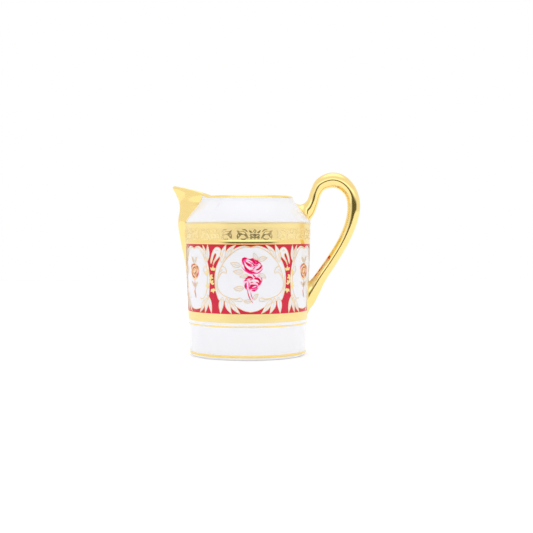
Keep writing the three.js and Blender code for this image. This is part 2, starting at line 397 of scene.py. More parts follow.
# --------------------------------------------------------------------------- finished pieces
def set_piece(
    name: str,
    bm: bmesh.types.BMesh,
    materials: Sequence[bpy.types.Material],
    axis: Vector,
    stands_for: Sequence[str] = (),
    sharp_degrees: float = 40.0,
    skin_mm: float = 0.0,
) -> bpy.types.Object:
    """Turn a bmesh in millimetres to a finished piece that rides on the frame.

    Args:
        name: the piece's name.
        bm: its mesh about the barrel axis. It is freed here.
        materials: the finishes that its faces name by index.
        axis: where the barrel axis stands, in metres.
        stands_for: the CAD nodes that the piece replaces.
        sharp_degrees: edges that turn more than this are left crisp.
        skin_mm: thickness given inwards to an open skin.

    Returns:
        The finished object.
    """
    bmesh.ops.transform(bm, matrix=Matrix.Translation(axis) @ Matrix.Scale(MM, 4), verts=bm.verts)
    limit = math.radians(sharp_degrees)
    for face in bm.faces:
        face.smooth = True
    for edge in bm.edges:
        edge.smooth = edge.is_manifold and edge.calc_face_angle(0.0) < limit
    mesh = bpy.data.meshes.new(name)
    bm.to_mesh(mesh)
    bm.free()
    for mat in materials:
        mesh.materials.append(mat)
    piece = bpy.data.objects.new(name, mesh)
    bpy.context.scene.collection.objects.link(piece)
    if skin_mm:
        wall = piece.modifiers.new("fired_thickness", "SOLIDIFY")
        wall.thickness = skin_mm * MM
        wall.offset = -1.0
    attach(piece, "root")
    if stands_for:
        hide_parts(*stands_for)
    LOG.info("%s: %d faces, stands for %s", name, len(mesh.polygons), list(stands_for) or "itself")
    return piece


# --------------------------------------------------------------------------- vessel
class Zone(Enum):
    """Stretches of the turned profile."""

    UNDERSIDE = 0
    FOOT_RING = 1
    OUTSIDE = 2
    LIP = 3
    INSIDE = 4


@dataclass
class Vessel:
    """The porcelain body with its modelled beak and lip, about the barrel axis, in millimetres."""

    shoulder_radius: float = 38.0
    shoulder_height: float = 80.7
    taper: float = 2.6               # how much slimmer the barrel is at its foot
    taper_power: float = 1.6
    wall: float = 2.6
    floor: float = 4.6               # height of the inside's floor
    foot_inner: float = 31.2         # radii of the foot ring
    foot_outer: float = 33.9
    rim_height: float = 96.8
    lip_round: float = 1.25          # radius of the rounded lip's section
    lip_centre: float = 26.35        # distance of that section's middle from the axis
    columns: int = 360
    crease_degrees: float = 15.0     # columns within this of the spout's middle belong to it
    settle_degrees: float = 60.0     # past this the columns stand as turned
    spout_foot: float = 44.0         # height where the spout starts to rise from the barrel
    spout_ease: float = 16.0         # height below that over which the columns close up to it
    channel_side: float = 1.9        # thickness of the spout's side walls
    channel_front: float = 2.4       # thickness of its front wall
    channel_heights: Point = (56.0, 80.0)    # over these the channel reaches its full depth
    crisp_heights: Point = (76.0, 83.0)      # over these the spout's flanks turn flat
    lip_spread_degrees: float = 34.0     # past this the lip is level and round
    lip_reach: float = 18.8          # how far the beak's tip stands out past the lip
    lip_rise: float = 6.3            # and how far it rises above it
    flare_height: float = 2.3        # height below the lip over which its flare dies away
    levels: tuple[float, ...] = (
        1.6, 3.0, 19.55, 20.25, 22.2, 27.4, 68.0, 68.2, 68.5, 69.1, 69.5, 70.4, 77.3, 77.6, 78.2, 79.0,
        79.8, 80.4, 80.7,
    )
    shoulder: tuple[Point, ...] = (
        (38.0, 80.7), (37.95, 81.4), (37.55, 82.3), (36.7, 83.7), (34.3, 87.1), (31.3, 90.4),
        (29.3, 92.5), (28.3, 93.9), (27.75, 95.0), (27.6, 95.55),
    )
    inner_shoulder: tuple[Point, ...] = (
        (25.1, 95.55), (25.15, 93.6), (26.0, 92.0), (27.8, 90.2), (31.4, 86.6), (34.2, 83.0),
        (35.2, 80.8), (35.4, 78.0),
    )
    reach: Table = field(default_factory=lambda: Table([
        (44, 37.26), (52.5, 38.25), (59.8, 39.5), (67.2, 41.2), (74.5, 42.4), (78.2, 42.95),
        (81.9, 43.0), (84.3, 42.75), (86.8, 42.2), (88.6, 41.8), (91.0, 41.5), (93.0, 41.4), (96, 41.4),
    ]))
    half_width: Table = field(default_factory=lambda: Table([
        (44, 0.4), (56, 3.6), (67, 6.2), (77, 7.6), (82, 7.8), (88, 8.0), (92, 8.6), (94, 9.5), (95.6, 10.6),
    ]))

    def barrel_radius(self, height: float) -> float:
        """Outside radius of the barrel at a height."""
        down = max(0.0, 1 - height / self.shoulder_height)
        return self.shoulder_radius - self.taper * down**self.taper_power

    def outer_radius(self, height: float) -> float:
        """Outside radius of the turned wall at any height, before the spout is drawn out."""
        if height <= self.shoulder_height:
            return self.barrel_radius(height)
        if height >= self.shoulder[-1][1]:
            return self.shoulder[-1][0]
        pairs = zip(self.shoulder, self.shoulder[1:])
        (r0, z0), (r1, z1) = next(p for p in pairs if height <= p[1][1])
        return lerp(r0, r1, (height - z0) / (z1 - z0))

    def clearance(self, radius: float, height: float) -> float:
        """Distance of a point from the outside wall, along the wall's normal."""
        slope = (self.outer_radius(height + 0.4) - self.outer_radius(height - 0.4)) / 0.8
        return (radius - self.outer_radius(height)) / math.hypot(1.0, slope)

    def profile(self) -> list[tuple[float, float, Zone]]:
        """The closed profile from the middle of the underside to the middle of the floor."""
        under = [(0.0, 1.8), (12.0, 1.8), (22.0, 1.8), (28.6, 1.8), (30.2, 1.5), (30.9, 0.7),
                 (self.foot_inner, 0.0)]
        heel = [(34.35, 0.12), (34.8, 0.45), (35.2, 0.95)]
        between = [2.0 * k for k in range(2, 39) if all(abs(2.0 * k - z) > 0.7 for z in self.levels)]
        barrel = sorted([*self.levels, *between])
        outside = [(self.barrel_radius(z), z) for z in barrel if z < self.shoulder_height]
        shoulder = flowing(self.shoulder, 0.45)
        middle = self.rim_height - self.lip_round
        lip = [
            (self.lip_centre + self.lip_round * math.cos(a), middle + self.lip_round * math.sin(a))
            for a in (math.pi * k / 12 for k in range(1, 12))
        ]
        inner = flowing(self.inner_shoulder, 0.9)
        inner += [(self.barrel_radius(z) - self.wall, float(z)) for z in range(75, 9, -3)]
        inner += [(32.4, 7.6), (31.4, 6.0), (29.6, 4.95), (27.0, 4.65), (22.0, self.floor)]
        inner += [(12.0, self.floor), (0.0, self.floor)]
        rows = [(r, z, Zone.UNDERSIDE) for r, z in under]
        rows += [(self.foot_outer, 0.0, Zone.FOOT_RING)]
        rows += [(r, z, Zone.OUTSIDE) for r, z in (*heel, *outside, *shoulder)]
        rows += [(r, z, Zone.LIP) for r, z in lip]
        rows += [(r, z, Zone.INSIDE) for r, z in inner]
        return rows

    def lip_place(self, angle: float) -> tuple[float, float]:
        """Reach of the lip's outer edge and its rise above the rim, at an angle from the beak."""
        soft = math.radians(1.6)
        share = (math.hypot(angle, soft) - soft) / math.radians(self.lip_spread_degrees)
        left = max(0.0, 1 - share)
        edge = self.lip_centre + self.lip_round
        return edge + self.lip_reach * left**2.7, self.lip_rise * left**1.5

    def drawn_out(self, radius: float, height: float, angle: float, zone: Zone) -> Vector:
        """Where a turned point goes once the spout and the lip are modelled.

        Args:
            radius: the turned point's distance from the axis.
            height: its height.
            angle: its angle from the middle of the spout, signed, in radians.
            zone: the stretch of the profile it is on.

        Returns:
            Its final place, with the spout towards -X.
        """
        size, side = abs(angle), math.copysign(1.0, angle)
        crease, settle = math.radians(self.crease_degrees), math.radians(self.settle_degrees)
        inside = zone is Zone.INSIDE
        lowest = self.spout_foot - self.spout_ease
        plain = Vector((-radius * math.cos(angle), -radius * math.sin(angle), height))
        if zone in (Zone.UNDERSIDE, Zone.FOOT_RING) or size >= settle or height < lowest:
            return plain
        level = max(self.spout_foot, min(height, self.rim_height - self.lip_round))
        width = self.half_width(level)
        front = self.reach(level)
        base = radius if zone in (Zone.OUTSIDE, Zone.INSIDE) else self.lip_centre + self.lip_round
        if inside:
            width = max(0.35, width - self.channel_side)
            deep = smoothstep(*self.channel_heights, level)
            front = lerp(base, max(base, front - self.channel_front), deep)
        width = min(width, base * 0.5)
        foot = math.sqrt(base * base - width * width)
        front = max(front, base)
        edge_angle = math.asin(width / base)
        crisp = smoothstep(*self.crisp_heights, level)
        share = min(1.0, size / crease)
        turn = share * math.pi / 2
        out = lerp(0.5 + 0.5 * math.cos(2 * turn), 1 - share * share, crisp)
        if size <= crease:
            y = width * share
            circle = math.sqrt(base * base - y * y)
            straight = foot + (front - foot) * out
            soft = circle + (front - base) * out
            x = lerp(soft, straight, crisp)
            lip_angle = edge_angle * share
        else:
            moved = edge_angle + (size - crease) * (settle - edge_angle) / (settle - crease)
            x, y = base * math.cos(moved), base * math.sin(moved)
            lip_angle = moved
        # below the spout the columns ease back to where they were turned
        ease = smoothstep(lowest, self.spout_foot, height)
        if ease < 1:
            bearing = lerp(size, math.atan2(y, x), ease)
            x, y = base * math.cos(bearing), base * math.sin(bearing)
            return Vector((-x, -side * y, height))
        reach, rise = self.lip_place(lip_angle)
        edge = Vector((reach * math.cos(lip_angle), reach * math.sin(lip_angle)))
        inward = Vector((math.cos(lip_angle), math.sin(lip_angle)))
        top = self.rim_height - self.lip_round
        if zone is Zone.LIP:
            outline = edge - inward * (self.lip_centre + self.lip_round - radius)
            return Vector((-outline.x, -side * outline.y, height + rise))
        if inside:
            edge -= inward * 2 * self.lip_round
        pull = math.exp(-(top - height) / self.flare_height)
        outline = Vector((x, y)).lerp(edge, pull)
        return Vector((-outline.x, -side * outline.y, height + rise * pull))

    def build(self) -> bmesh.types.BMesh:
        """Turn the profile, remember each point's zone, and draw out the spout and lip.

        Returns:
            The closed vessel. Faces keep their zone in the layer "zone", their turned height in
            "height" and their turned angle from the spout in "angle".
        """
        bm = bmesh.new()
        zone_of = bm.verts.layers.int.new("zone")
        height_of = bm.verts.layers.float.new("height")
        angle_of = bm.verts.layers.float.new("angle")
        radius_of = bm.verts.layers.float.new("radius")
        before = None
        for radius, height, zone in self.profile():
            vert = bm.verts.new((-radius, 0.0, height))
            vert[zone_of], vert[height_of], vert[radius_of] = zone.value, height, radius
            if before is not None:
                bm.edges.new((before, vert))
            before = vert
        bmesh.ops.spin(
            bm, geom=[*bm.verts, *bm.edges], cent=(0, 0, 0), axis=(0, 0, 1), dvec=(0, 0, 0),
            angle=math.tau, steps=self.columns, use_merge=True, use_duplicate=False,
        )
        bmesh.ops.remove_doubles(bm, verts=bm.verts, dist=1e-4)
        zones = list(Zone)
        for vert in bm.verts:
            radius, height = vert[radius_of], vert[height_of]
            angle = math.atan2(-vert.co.y, -vert.co.x)
            vert[angle_of] = angle
            if radius > 0.01:
                vert.co = self.drawn_out(radius, height, angle, zones[vert[zone_of]])
        bmesh.ops.recalc_face_normals(bm, faces=bm.faces)
        ring = [f for f in bm.faces if f.calc_center_median().z < 0.06]
        for face in ring:
            face.material_index = 1
        return bm

    def peeled(
        self,
        vessel: bmesh.types.BMesh,
        keep: Callable[[float, float, set[Zone]], bool],
        lift: float | Table,
    ) -> bmesh.types.BMesh:
        """A skin of the vessel's own faces, lifted a little off it.

        Args:
            vessel: the built vessel.
            keep: says from a face's turned height, angle from the spout in degrees and zones
                whether it stays.
            lift: how far the skin stands off, in millimetres, or a table of it by height.

        Returns:
            The skin, still open at its edges.
        """
        skin = vessel.copy()
        zone_of = skin.verts.layers.int["zone"]
        height_of = skin.verts.layers.float["height"]
        angle_of = skin.verts.layers.float["angle"]
        zones = list(Zone)
        lost = []
        for face in skin.faces:
            height = sum(v[height_of] for v in face.verts) / len(face.verts)
            angle = max(abs(v[angle_of]) for v in face.verts)
            found = {zones[v[zone_of]] for v in face.verts}
            if not keep(height, math.degrees(angle), found):
                lost.append(face)
        for vert in skin.verts:
            vert.co += vert.normal * (lift(vert[height_of]) if isinstance(lift, Table) else lift)
        bmesh.ops.delete(skin, geom=lost, context="FACES")
        for face in skin.faces:
            face.material_index = 0
        return skin


@dataclass
class Castings:
    """The porcelain body, the gilded spout and the fired-on gold that follow its surface."""

    vessel: Vessel
    axis: Vector
    spout_wall: float = 1.1
    spout_lift: float = 0.06
    gold_lift: float = 0.05
    enamel_lift: float = 0.04
    seam_lift: float = 0.16
    border_lift: float = 0.07
    band_low: float = 27.4           # the painted band's edges
    band_high: float = 68.0
    frieze_low: float = 70.4         # the etched ground's edges
    frieze_high: float = 77.3
    rim_foot: float = 95.4           # the gilding's edge outside the rim
    rim_inner_foot: float = 93.7     # and inside it
    seam_top: float = 95.15
    added: tuple[str, ...] = ("frieze_upper_border", "frieze_lower_border")
    lower_bead: Table = field(default_factory=lambda: Table([
        (68.0, 0.20), (68.2, 0.24), (68.5, 0.24), (69.1, 0.24), (69.5, 0.22), (70.4, 0.06)]))
    upper_bead: Table = field(default_factory=lambda: Table([
        (77.3, 0.05), (77.6, 0.07), (78.2, 0.14), (79.0, 0.24), (79.8, 0.35), (80.4, 0.40), (80.7, 0.30)]))

    def build(self, finishes: Finishes) -> None:
        """Make the vessel and peel the spout, rim and bands from it."""
        whole = self.vessel.build()
        within = self.vessel.crease_degrees + 0.01
        outside = {Zone.OUTSIDE}

        def between(low: float, high: float) -> Callable[[float, float, set[Zone]], bool]:
            """A test for outside faces between two heights, clear of the spout."""
            return lambda z, angle, zones: low < z < high and zones <= outside and (
                angle > within or z < self.vessel.spout_foot)

        def on_spout(z: float, angle: float, zones: set[Zone]) -> bool:
            """Whether a face is on the outside of the beak."""
            return z > self.vessel.spout_foot and angle < within and zones <= {Zone.OUTSIDE, Zone.LIP}

        def beside_spout(z: float, angle: float, zones: set[Zone]) -> bool:
            """Whether a face is in the first column past the crease, where the slip was smoothed."""
            level = self.vessel.spout_foot < z < self.seam_top
            return level and within < angle < within + 1 and zones == outside

        def on_rim(z: float, angle: float, zones: set[Zone]) -> bool:
            """Whether a face is on the gilded lip, outside or a little way in."""
            inside = zones == {Zone.INSIDE}
            return Zone.LIP in zones or z > self.rim_foot or (inside and z > self.rim_inner_foot)

        skins = (
            ("spout", on_spout, self.spout_lift, finishes.burnished, "gilded_porcelain", self.spout_wall),
            ("spout_slip_seam", beside_spout, self.seam_lift, finishes.burnished, "gilded_porcelain", 0.3),
            ("rim_gilding", on_rim, self.gold_lift, finishes.burnished, "burnished_gold", 0.3),
            ("lower_gold_band", between(22.2, self.band_low), self.border_lift, finishes.border,
             "burnished_gold", 0.06),
            ("gold_hairline", between(19.55, 20.25), self.border_lift, finishes.thin_line,
             "burnished_gold", 0.06),
            ("foot_gold_line", between(1.6, 3.0), self.border_lift, finishes.thin_line,
             "burnished_gold", 0.06),
            ("frieze_upper_border", between(self.frieze_high, self.vessel.shoulder_height),
             self.upper_bead, finishes.border, "burnished_gold", 0.06),
            ("frieze_lower_border", between(self.band_high, self.frieze_low), self.lower_bead,
             finishes.burnished, "burnished_gold", 0.06),
            ("painted_band", between(self.band_low, self.band_high), self.enamel_lift,
             finishes.enamels[Enamel.CRIMSON], "crimson_enamel", 0.03),
            ("gold_frieze_band", between(self.frieze_low, self.frieze_high), self.gold_lift,
             finishes.etched, "etched_gold", 0.05),
        )
        for name, keep, lift, finish, slot, thickness in skins:
            nodes = [] if name in self.added else [name]
            skin = self.vessel.peeled(whole, keep, lift)
            set_piece(name, skin, [finish], self.axis, nodes, skin_mm=thickness)
        set_piece(
            "jug_body", whole, [finishes.porcelain, finishes.biscuit],
            self.axis, ["jug_body"],
        )


# --------------------------------------------------------------------------- flat ornament
class Taper(Enum):
    """How the width of a brush stroke runs from its start to its end."""

    EVEN = "even"
    SWELL = "swell"

    def share(self, t: float) -> float:
        """Share of the full width at a share of the stroke's length."""
        if self is Taper.SWELL:
            return max(0.08, math.sin(math.pi * t) ** 0.6)
        return 1.0


def leaf_outline(base: Point, tip: Point, width: float, bend: float = 0.0) -> list[Point]:
    """A closed pointed leaf from its base to its tip.

    Args:
        base: where the leaf starts.
        tip: where it ends.
        width: its full width, widest nearer the base.
        bend: how far its middle bows to the left of its line.

    Returns:
        The outline's points, counter-clockwise.
    """
    along = Vector(tip) - Vector(base)
    aside = Vector((-along.y, along.x)).normalized()
    steps = 9
    sides: list[list[Point]] = []
    for sign in (-1, 1):
        side = []
        for k in range(1, steps):
            t = k / steps
            half = 0.5 * width * math.sin(math.pi * t**0.8)
            spot = Vector(base) + along * t + aside * (bend * 4 * t * (1 - t) + sign * half)
            side.append((spot.x, spot.y))
        sides.append(side)
    return [tuple(base), *sides[0], tuple(tip), *reversed(sides[1])]


def mirrored(points: Path) -> list[Point]:
    """The points on the other side of the motif's middle."""
    return [(-u, v) for u, v in points]


def symmetric(right_half: Path) -> list[Point]:
    """A closed outline from its right half, given from top middle to bottom middle."""
    left = [(-u, v) for u, v in reversed(right_half) if u > 1e-6]
    return [*right_half, *left]


class Drawing:
    """Flat painted shapes in millimetres: u round the barrel, v up it, and a small lift off it."""

    COLUMN = 1.6
    ROW = 6.0
    STEP = 0.0015

    def __init__(self, lift: float) -> None:
        """Start an empty drawing whose first shape lies at a lift."""
        self.bm = bmesh.new()
        self.rise = self.bm.verts.layers.float.new("rise")
        self.lift = lift

    def _finish(self, faces: Iterable[bmesh.types.BMFace], tone: int) -> None:
        """Give new faces their tone and lift, and turn them to face outwards."""
        faces = list(faces)
        for face in faces:
            face.normal_update()
            face.material_index = tone
            for vert in face.verts:
                vert[self.rise] = self.lift
        bmesh.ops.reverse_faces(self.bm, faces=[f for f in faces if f.normal.z < 0])
        self.lift += self.STEP

    def patch(self, outline: Path, tone: int = 0, spacing: float = 0.0) -> None:
        """Fill a closed outline.

        Args:
            outline: its corners, or the points of a smooth curve if spacing is given.
            tone: index of its finish.
            spacing: distance between the points taken on the smooth curve.
        """
        corners = flowing(outline, spacing, closed=True) if spacing else outline
        verts = [self.bm.verts.new((u, v, 0.0)) for u, v in corners]
        edges = [self.bm.edges.new((verts[i - 1], verts[i])) for i in range(len(verts))]
        made = bmesh.ops.triangle_fill(self.bm, edges=edges, use_beauty=True)
        self._finish((g for g in made["geom"] if isinstance(g, bmesh.types.BMFace)), tone)

    def stroke(
        self, points: Path, width: float, tone: int = 0, taper: Taper = Taper.SWELL,
        closed: bool = False, spacing: float = 0.7,
    ) -> None:
        """Draw one brush stroke along a smooth curve.

        Args:
            points: what the curve passes through.
            width: full width of the brush.
            tone: index of its finish.
            taper: how the width runs along it.
            closed: whether the stroke meets its start.
            spacing: distance between its cross sections.
        """
        centres = [Vector(p) for p in flowing(points, spacing, closed)]
        count = len(centres)
        chains: tuple[list, list] = ([], [])
        for i, centre in enumerate(centres):
            before = centres[i - 1] if closed or i else centre
            after = centres[(i + 1) % count] if closed or i + 1 < count else centre
            along = (after - before).normalized()
            half = 0.5 * width * taper.share(i / (count - 1))
            aside = Vector((-along.y, along.x)) * half
            for chain, spot in zip(chains, (centre + aside, centre - aside)):
                chain.append(self.bm.verts.new((spot.x, spot.y, 0.0)))
        edges = []
        for chain in chains:
            pairs = zip(chain, chain[1:] + chain[:1] if closed else chain[1:])
            edges += [self.bm.edges.new(pair) for pair in pairs]
        made = bmesh.ops.bridge_loops(self.bm, edges=edges)
        self._finish(made["faces"], tone)

    def leaf_lines(self, outline: Path, weight: float, tone: int = 0) -> None:
        """Draw the outline and the middle vein of a leaf.

        Args:
            outline: the leaf as leaf_outline gives it.
            weight: width of the outline.
            tone: index of its finish.
        """
        half = len(outline) // 2
        self.stroke(outline[: half + 1], weight, tone, Taper.EVEN)
        self.stroke([*outline[half:], outline[0]], weight, tone, Taper.EVEN)
        middle = [((outline[k][0] + outline[-k][0]) / 2, (outline[k][1] + outline[-k][1]) / 2)
                  for k in (1, 4, 7)]
        self.stroke(middle, weight * 0.8, tone)

    def trim(self, low: float, high: float) -> None:
        """Cut off what reaches past two heights, and grid the rest so that it bends smoothly."""
        self._cut((0, low, 0), (0, -1, 0), True)
        self._cut((0, high, 0), (0, 1, 0), True)
        reach = max((abs(v.co.x) for v in self.bm.verts), default=0.0)
        for k in range(-int(reach / self.COLUMN), int(reach / self.COLUMN) + 1):
            self._cut((k * self.COLUMN, 0, 0), (1, 0, 0), False)
        for k in range(1, int((high - low) / self.ROW) + 1):
            self._cut((0, low + k * self.ROW, 0), (0, 1, 0), False)

    def _cut(self, place: Sequence[float], normal: Sequence[float], clear: bool) -> None:
        """Cut all faces with a plane and perhaps drop what lies past it."""
        geom = [*self.bm.verts, *self.bm.edges, *self.bm.faces]
        bmesh.ops.bisect_plane(
            self.bm, geom=geom, dist=1e-5, plane_co=place, plane_no=normal, clear_outer=clear,
        )

    def copied(self) -> "Drawing":
        """A copy of the drawing."""
        copy = Drawing(self.lift)
        copy.bm.free()
        copy.bm = self.bm.copy()
        copy.rise = copy.bm.verts.layers.float["rise"]
        return copy

    def flipped(self) -> "Drawing":
        """A copy mirrored left to right."""
        copy = self.copied()
        bmesh.ops.scale(copy.bm, vec=(-1, 1, 1), verts=copy.bm.verts)
        bmesh.ops.reverse_faces(copy.bm, faces=copy.bm.faces)
        return copy

    def without_wedge(self, middle: float, foot: Point, top: Point) -> "Drawing":
        """A copy with a wedge cut out of it, open upwards, such as where the spout rises.

        Args:
            middle: u of the wedge's middle.
            foot: half width and height of the wedge's foot.
            top: half width and height of the wedge higher up.

        Returns:
            The cut copy.
        """
        copy = self.copied()
        slope = (top[0] - foot[0]) / (top[1] - foot[1])
        for sign in (-1, 1):
            copy._cut((middle + sign * foot[0], foot[1], 0), (1, -sign * slope, 0), False)
        copy._cut((0, foot[1], 0), (0, 1, 0), False)
        inside = []
        for face in copy.bm.faces:
            spot = face.calc_center_median()
            half = foot[0] + slope * (spot.y - foot[1])
            if spot.y > foot[1] and abs(spot.x - middle) < half:
                inside.append(face)
        bmesh.ops.delete(copy.bm, geom=inside, context="FACES")
        return copy

    def clear_of_spout(self, vessel: Vessel, azimuth: float, low: float, high: float) -> "Drawing":
        """The drawing without what would lie under the spout once it is wrapped.

        Args:
            vessel: whose barrel it lies on.
            azimuth: degrees from -Y towards +X where u is 0.
            low: lower end of the ornament's heights.
            high: their upper end.

        Returns:
            A cut copy, or the drawing itself where the spout is far away.
        """
        away = (SPOUT_AZIMUTH - azimuth + 180) % 360 - 180
        if abs(away) >= 60:
            return self
        foot, top = ((vessel.half_width(z) + SPOUT_GAP, z) for z in (max(low, vessel.spout_foot + 1), high))
        return self.without_wedge(math.radians(away) * BARREL_SCALE, foot, top)

    def wrap(self, target: bmesh.types.BMesh, vessel: Vessel, azimuth: float) -> None:
        """Bend a copy of the drawing round the barrel and add it to a mesh.

        Args:
            target: the mesh to add to.
            vessel: whose barrel it lies on.
            azimuth: degrees from -Y towards +X where u is 0.
        """
        copy = self.bm.copy()
        rise = copy.verts.layers.float["rise"]
        for vert in copy.verts:
            turn = math.radians(azimuth) + vert.co.x / BARREL_SCALE
            radius = vessel.barrel_radius(vert.co.y) + vert[rise]
            vert.co = (radius * math.sin(turn), -radius * math.cos(turn), vert.co.y)
        mesh = bpy.data.meshes.new("wrapped")
        copy.to_mesh(mesh)
        copy.free()
        target.from_mesh(mesh)
        bpy.data.meshes.remove(mesh)


# --------------------------------------------------------------------------- painted band
@dataclass
class RoseSpray:
    """Brush strokes of a rose: petals laid light to dark, and the lights left between them."""

    petals: tuple[tuple[int, Path], ...]
    strokes: tuple[tuple[int, float, Path], ...]
    shift: Point = (0.0, 0.0)

    def draw(self, drawing: Drawing) -> None:
        """Lay the petals and then the strokes over them."""
        for tone, outline in self.petals:
            drawing.patch(self._moved(outline), tone, spacing=0.8)
        for tone, width, points in self.strokes:
            drawing.stroke(self._moved(points), width, tone)

    def _moved(self, points: Path) -> list[Point]:
        """The points moved by the spray's shift."""
        return [(u + self.shift[0], v + self.shift[1]) for u, v in points]


# places of the roses' enamels in their lists of finishes
DEEP, MIDDLE, LIGHT, PAPER, STEM = range(5)

UPPER_ROSE = RoseSpray(
    petals=(
        (LIGHT, ((-5.4, 55.6), (-5.0, 58.6), (-3.2, 60.0), (-0.8, 59.3), (1.2, 59.6), (3.4, 59.0),
                 (5.2, 57.2), (6.9, 55.6), (7.0, 53.2), (5.6, 51.2), (3.4, 50.3), (1.0, 49.9),
                 (-1.4, 50.8), (-3.6, 52.4), (-4.8, 53.6))),
        (MIDDLE, ((-5.1, 57.2), (-4.4, 59.2), (-2.6, 59.6), (-2.9, 57.8), (-3.8, 56.6), (-4.7, 56.2))),
        (MIDDLE, ((0.6, 58.2), (2.4, 58.9), (4.2, 58.0), (4.6, 56.4), (3.0, 55.6), (1.6, 56.4))),
        (MIDDLE, ((-3.6, 53.6), (-1.6, 51.9), (0.8, 51.0), (3.2, 51.4), (2.2, 50.5), (-0.2, 50.5),
                  (-2.6, 51.8))),
    ),
    strokes=(
        (DEEP, 1.3, ((-4.9, 57.4), (-4.6, 58.8), (-3.4, 59.5), (-1.8, 59.0))),
        (DEEP, 0.5, ((-2.6, 59.3), (-0.6, 58.8), (1.2, 59.3), (3.2, 58.7))),
        (DEEP, 0.9, ((-4.4, 57.2), (-3.9, 55.8), (-3.7, 54.8))),
        (DEEP, 1.5, ((-3.9, 55.6), (-3.0, 53.8), (-1.6, 52.4), (0.2, 51.5), (2.4, 51.4))),
        (DEEP, 0.9, ((-2.7, 57.4), (-1.6, 56.3), (-0.2, 55.7), (0.9, 55.1))),
        (DEEP, 0.5, ((-1.6, 58.0), (-0.2, 57.2), (0.8, 56.4), (1.0, 57.4))),
        (DEEP, 1.2, ((0.4, 58.1), (1.6, 57.8), (2.3, 56.8), (2.0, 55.8))),
        (DEEP, 1.1, ((2.4, 58.5), (3.6, 57.9), (4.3, 57.2), (4.9, 56.6))),
        (DEEP, 0.8, ((2.5, 55.8), (3.5, 56.2), (4.6, 57.2))),
        (DEEP, 1.3, ((2.7, 52.6), (4.4, 53.0), (5.7, 54.1), (6.6, 55.6))),
        (DEEP, 0.7, ((1.0, 53.2), (1.8, 53.7), (2.6, 54.4))),
        (DEEP, 0.9, ((-1.4, 59.2), (0.2, 58.3), (1.6, 58.9), (3.0, 58.3))),
        (DEEP, 1.0, ((-3.3, 57.9), (-2.5, 56.6), (-1.2, 55.4), (0.4, 54.6))),
        (DEEP, 0.8, ((0.8, 57.0), (1.6, 55.6), (2.9, 55.0), (4.1, 55.6))),
        (DEEP, 0.6, ((-0.4, 52.7), (0.8, 52.4), (2.1, 52.9))),
        (DEEP, 0.7, ((4.4, 57.4), (5.4, 56.5), (6.0, 55.3))),
        (MIDDLE, 0.6, ((-0.9, 57.9), (0.1, 57.0), (0.6, 56.0))),
        (MIDDLE, 0.5, ((-0.6, 54.2), (1.2, 54.8), (3.2, 55.0), (5.2, 56.2))),
        (MIDDLE, 0.5, ((-5.4, 54.6), (-4.4, 53.4), (-3.0, 52.0), (-0.6, 50.6), (1.6, 50.1))),
        (MIDDLE, 0.7, ((1.4, 50.4), (3.8, 50.7), (5.6, 51.9), (7.0, 53.4))),
        (PAPER, 0.8, ((-3.2, 56.6), (-2.4, 55.0), (-0.9, 53.6), (0.6, 53.2))),
        (PAPER, 0.6, ((-1.9, 58.4), (-0.4, 58.0), (0.2, 57.3))),
        (PAPER, 0.7, ((4.0, 54.8), (5.2, 55.9), (5.8, 56.3))),
        (PAPER, 0.6, ((3.0, 51.7), (4.8, 52.2), (6.2, 53.5))),
        (PAPER, 0.5, ((-4.9, 55.9), (-4.6, 54.4), (-3.8, 53.4))),
    ),
    shift=(0.0, 0.5),
)

